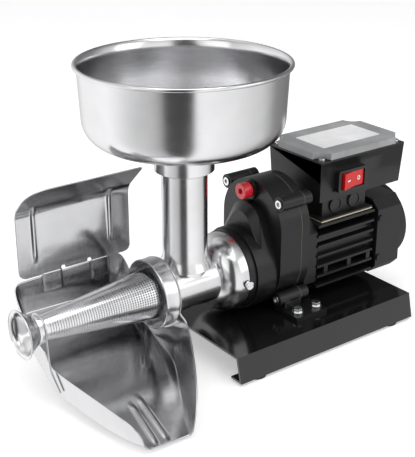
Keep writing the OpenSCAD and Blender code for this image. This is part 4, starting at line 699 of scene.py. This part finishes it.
def splash_guard():
    """Distance along the panel against distance up its bent section: a flat wall, a rounded bend and a leaning
    flange. The ends are drawn in along quarter circles at the corners, two upright ribs and a shallow pillow are
    added as bumps, and two tabs step inwards below."""
    x0, length, z0, height, lean, flange = CHUTE_X0 + 10, 139.0, FAR_Z + 0.3, 77.0, math.radians(46), 46.0
    top_corners, low_corners = (23.0, 5.0), (9.0, 8.0)
    y1, radius = CHUTE_Y1 - 2.6, 22.0
    turn_len = radius * lean
    cut = radius * math.tan(lean / 2)
    straight, slope = height - cut, flange - cut
    total = straight + turn_len + slope
    s = np.concatenate([
        np.linspace(0, 10, 14), np.linspace(10, straight, 34)[1:],
        np.linspace(straight, straight + turn_len, 15)[1:],
        np.linspace(straight + turn_len, total - 20, 10)[1:],
        total - 20 + 20 * np.sin(np.linspace(0, np.pi / 2, 14))[1:]])
    columns = 141

    def section(d):
        """Place (y, z) and outward normal at distance d up the section."""
        bend = np.clip((d - straight) / radius, 0, lean)
        y = np.where(d < straight, y1, y1 - radius * (1 - np.cos(bend)))
        z = np.where(d < straight, z0 + d, z0 + straight + radius * np.sin(bend))
        rest = np.maximum(d - straight - turn_len, 0)
        return y - rest * math.sin(lean), z + rest * math.cos(lean), bend

    def ends(d):
        """How far each end is drawn in at distance d: quarter circles at the corners."""
        def quarter(r, gap):
            gap = np.clip(gap, 0, r)
            return r - np.sqrt(np.maximum(r * r - (r - gap) ** 2, 0))
        return [np.maximum(quarter(top, total - d), quarter(low, d)) for top, low in zip(top_corners, low_corners)]

    left, right = ends(s)
    u = np.linspace(0, 1, columns)
    x = x0 + left[:, None] + u * (length - left - right)[:, None]
    mid, half = x0 + length / 2, 18.0
    away = np.abs(x - mid)
    notch = np.where(away < half - 4, 0.8, np.where(away < half + 1, 4.6, 0.0))
    d = s[:, None] + notch * np.clip(1 - s[:, None] / 10, 0, 1)
    y, z, bend = section(d)
    rib_low, rib_high = 16.0, straight + turn_len
    ribs = np.zeros_like(x)
    for rib_x in (x0 + 20.0, x0 + 113.0):
        rise = np.clip(np.minimum(d - rib_low, rib_high - d) / 8, 0, 1)
        ribs = np.maximum(ribs, np.exp(-((x - rib_x) / 1.9) ** 2) * rise * 2.2)
    inner = (x - x0 - 20) / 93.0
    pillow = np.where((inner > 0) & (inner < 1), np.sin(np.pi * np.clip(inner, 0, 1)) ** 0.8, 0)
    pillow = pillow * np.sin(np.pi * np.clip((d - 6) / (straight - 2), 0, 1)) * 2.2
    push = ribs + pillow
    y = y - push * np.cos(bend)
    z = z - push * np.sin(bend)
    panel = (np.stack([x, y, z], -1).reshape(-1, 3), grid_faces(len(s), columns))
    parts = [panel]
    for centre in (mid - 30.0, mid + 30.0):
        v = np.linspace(0, 1, 16)
        rise = np.clip(v * 1.4, 0, 1)
        tab_z = z0 + 1.0 - v * 22.5
        tab_y = y1 - 0.1 - 0.7 * rise**2 * (3 - 2 * rise)
        tab_x = centre + np.linspace(-12, 12, 9)
        gx, gz = np.meshgrid(tab_x, tab_z)
        gy = np.broadcast_to(tab_y[:, None], gx.shape)
        parts.append((np.stack([gx, gy, gz], -1).reshape(-1, 3), grid_faces(16, 9)[:, ::-1]))
    points, faces = joined(parts)
    obj = new_object("splash_guard_fine", placed(points), faces, 60)
    thick = obj.modifiers.new("sheet", "SOLIDIFY")
    thick.thickness = 1.0 * MM
    thick.offset = 0.0
    return obj


stands_for(splash_guard(), guard_steel, "splash_guard")

# ---------- spring wire clips ----------

CLIP_R = 1.0


def loop(x, r, gap, steps):
    """Points round the axis at a radius, open by an angle at the bottom."""
    a = np.radians(180 + gap / 2 + (360 - gap) * np.linspace(0, 1, steps))
    return np.stack([x + 0 * a, r * np.sin(a), AXIS_Z + r * np.cos(a)], -1)


def rear_clip():
    """A round wire swept along a smooth path: a hooked tail, round the collar, and a short tail."""
    x, r = -34.0 + CLIP_R + 0.1, 37.7
    ring = loop(x, r, 140, 24)
    y_end, z_end = ring[0][1], ring[0][2]
    path = np.concatenate([
        [[x + 7, y_end - 12, z_end - 38], [x + 5, y_end - 6, z_end - 14], [x + 1, y_end - 1, z_end - 4]], ring,
        [[x + 3, 4 - y_end, z_end - 12]]])
    points, faces = swept_rod(smooth_path(path, 4), CLIP_R)
    return outward(new_object("rear_clip_fine", placed(points), faces))


def front_clip():
    """A round wire swept along a smooth path: a hook over the chute's side and a loop round the mouth's collar."""
    x, hook_x = -188.0 + 3.2, CHUTE_X0 - CHUTE_T - CLIP_R + 0.3
    ring = loop(x, 13.7 + 1.6 + CLIP_R + 0.1, 150, 20)
    path = np.concatenate([[[hook_x + 3, -37, -8], [hook_x, -26, 12], [x - 2, -23, 24]], ring, [[x, 22, 47]]])
    points, faces = swept_rod(smooth_path(path, 4), CLIP_R)
    return outward(new_object("front_clip_fine", placed(points), faces))


stands_for(rear_clip(), wire_steel, "rear_clip")
stands_for(front_clip(), wire_steel, "front_clip")


# ---------- camera, floor and light ----------

CAMERA_AT = (-593.28, -838.97, 546.43)
CAMERA_TO = (0.55063, 0.73981, -0.38663)
camera_data = bpy.data.cameras.new("camera")
camera_data.sensor_width = 36.0
camera_data.lens = 79.57
camera_data.clip_start = 0.05
camera_data.clip_end = 30.0
camera = bpy.data.objects.new("camera", camera_data)
scene.collection.objects.link(camera)
camera.location = placed(CAMERA_AT)
camera.rotation_mode = "QUATERNION"
camera.rotation_quaternion = Vector(CAMERA_TO).to_track_quat("-Z", "Y")
scene.camera = camera
scene.view_settings.view_transform = "Standard"

floor_mesh = bpy.data.meshes.new("floor")
floor_mesh.from_pydata([(-4, -4, 0), (4, -4, 0), (4, 4, 0), (-4, 4, 0)], [], [(0, 1, 2, 3)])
floor = bpy.data.objects.new("floor", floor_mesh)
scene.collection.objects.link(floor)
floor_material, floor_tree, floor_shader = material_nodes("pale_floor")
floor_shader.inputs["Base Color"].default_value = (0.85, 0.85, 0.85, 1)
floor_shader.inputs["Emission Color"].default_value = (1, 1, 1, 1)
floor_shader.inputs["Emission Strength"].default_value = 0.4
floor_shader.inputs["Roughness"].default_value = 0.6
floor_shader.inputs["Specular IOR Level"].default_value = 0.1
floor_mesh.materials.append(floor_material)
floor.visible_glossy = False


ROOM_BRIGHTNESS = 1.4


def studio_world():
    """White room: brightness depends on the angle round the room and on the height, with a dark strip behind
    the camera, bright panels beside it and darker gaps at the sides. The camera itself sees plain white."""
    world = bpy.data.worlds.new("studio")
    scene.world = world
    world.use_nodes = True
    tree = world.node_tree
    background = tree.nodes["Background"]
    coordinates = tree.nodes.new("ShaderNodeTexCoord")
    split = tree.nodes.new("ShaderNodeSeparateXYZ")
    tree.links.new(coordinates.outputs["Generated"], split.inputs[0])
    around = tree.nodes.new("ShaderNodeMath")
    around.operation = "ARCTAN2"
    tree.links.new(split.outputs["Y"], around.inputs[0])
    tree.links.new(split.outputs["X"], around.inputs[1])
    turn = tree.nodes.new("ShaderNodeMapRange")
    turn.inputs["From Min"].default_value = -math.pi
    turn.inputs["From Max"].default_value = math.pi
    tree.links.new(around.outputs[0], turn.inputs["Value"])
    # the angle round the room runs 0 to 1: -X at 0, -Y at 0.25, +X at 0.5 and +Y at 0.75
    sides = ramp(tree, turn.outputs[0], [
        (0.0, 0.62), (0.06, 0.5), (0.085, 0.35), (0.098, 0.07), (0.178, 0.05), (0.192, 0.95), (0.3, 0.85),
        (0.42, 0.6), (0.48, 0.25), (0.58, 0.15), (0.66, 0.3), (0.76, 0.85), (0.9, 1.0), (0.95, 0.8), (1.0, 0.62),
    ])
    height = ramp(tree, split.outputs["Z"], [
        (0.0, 1.0), (0.12, 0.95), (0.4, 0.8), (0.62, 0.5), (0.8, 0.85), (1.0, 0.85)])
    lit = tree.nodes.new("ShaderNodeMix")
    lit.data_type = "RGBA"
    lit.blend_type = "MULTIPLY"
    lit.inputs["Factor"].default_value = 1.0
    tree.links.new(sides, lit.inputs[6])
    tree.links.new(height, lit.inputs[7])
    rays = tree.nodes.new("ShaderNodeLightPath")
    seen = tree.nodes.new("ShaderNodeMix")
    seen.data_type = "RGBA"
    seen.inputs[7].default_value = (1, 1, 1, 1)
    tree.links.new(rays.outputs["Is Camera Ray"], seen.inputs["Factor"])
    tree.links.new(seen.outputs[2], background.inputs["Color"])
    background.inputs["Strength"].default_value = 1.0
    scale = tree.nodes.new("ShaderNodeVectorMath")
    scale.operation = "SCALE"
    scale.inputs["Scale"].default_value = ROOM_BRIGHTNESS
    tree.links.new(lit.outputs[2], scale.inputs[0])
    tree.links.new(scale.outputs[0], seen.inputs[6])


studio_world()


def softbox(name, at, to, size, power):
    """A square lamp that shines from one point towards another, both in metres."""
    data = bpy.data.lights.new(name, "AREA")
    data.shape = "SQUARE"
    data.size = size
    data.energy = power
    lamp = bpy.data.objects.new(name, data)
    scene.collection.objects.link(lamp)
    lamp.location = at
    lamp.rotation_mode = "QUATERNION"
    lamp.rotation_quaternion = (Vector(to) - Vector(at)).to_track_quat("-Z", "Y")
    return lamp


softbox("top_light", (-0.3, -0.5, 1.9), (0, 0, 0.1), 1.6, 16)
softbox("left_light", (-1.6, -0.5, 0.9), (0, 0, 0.15), 1.2, 4)
softbox("right_light", (1.0, -1.6, 1.0), (0, 0, 0.15), 1.2, 5)
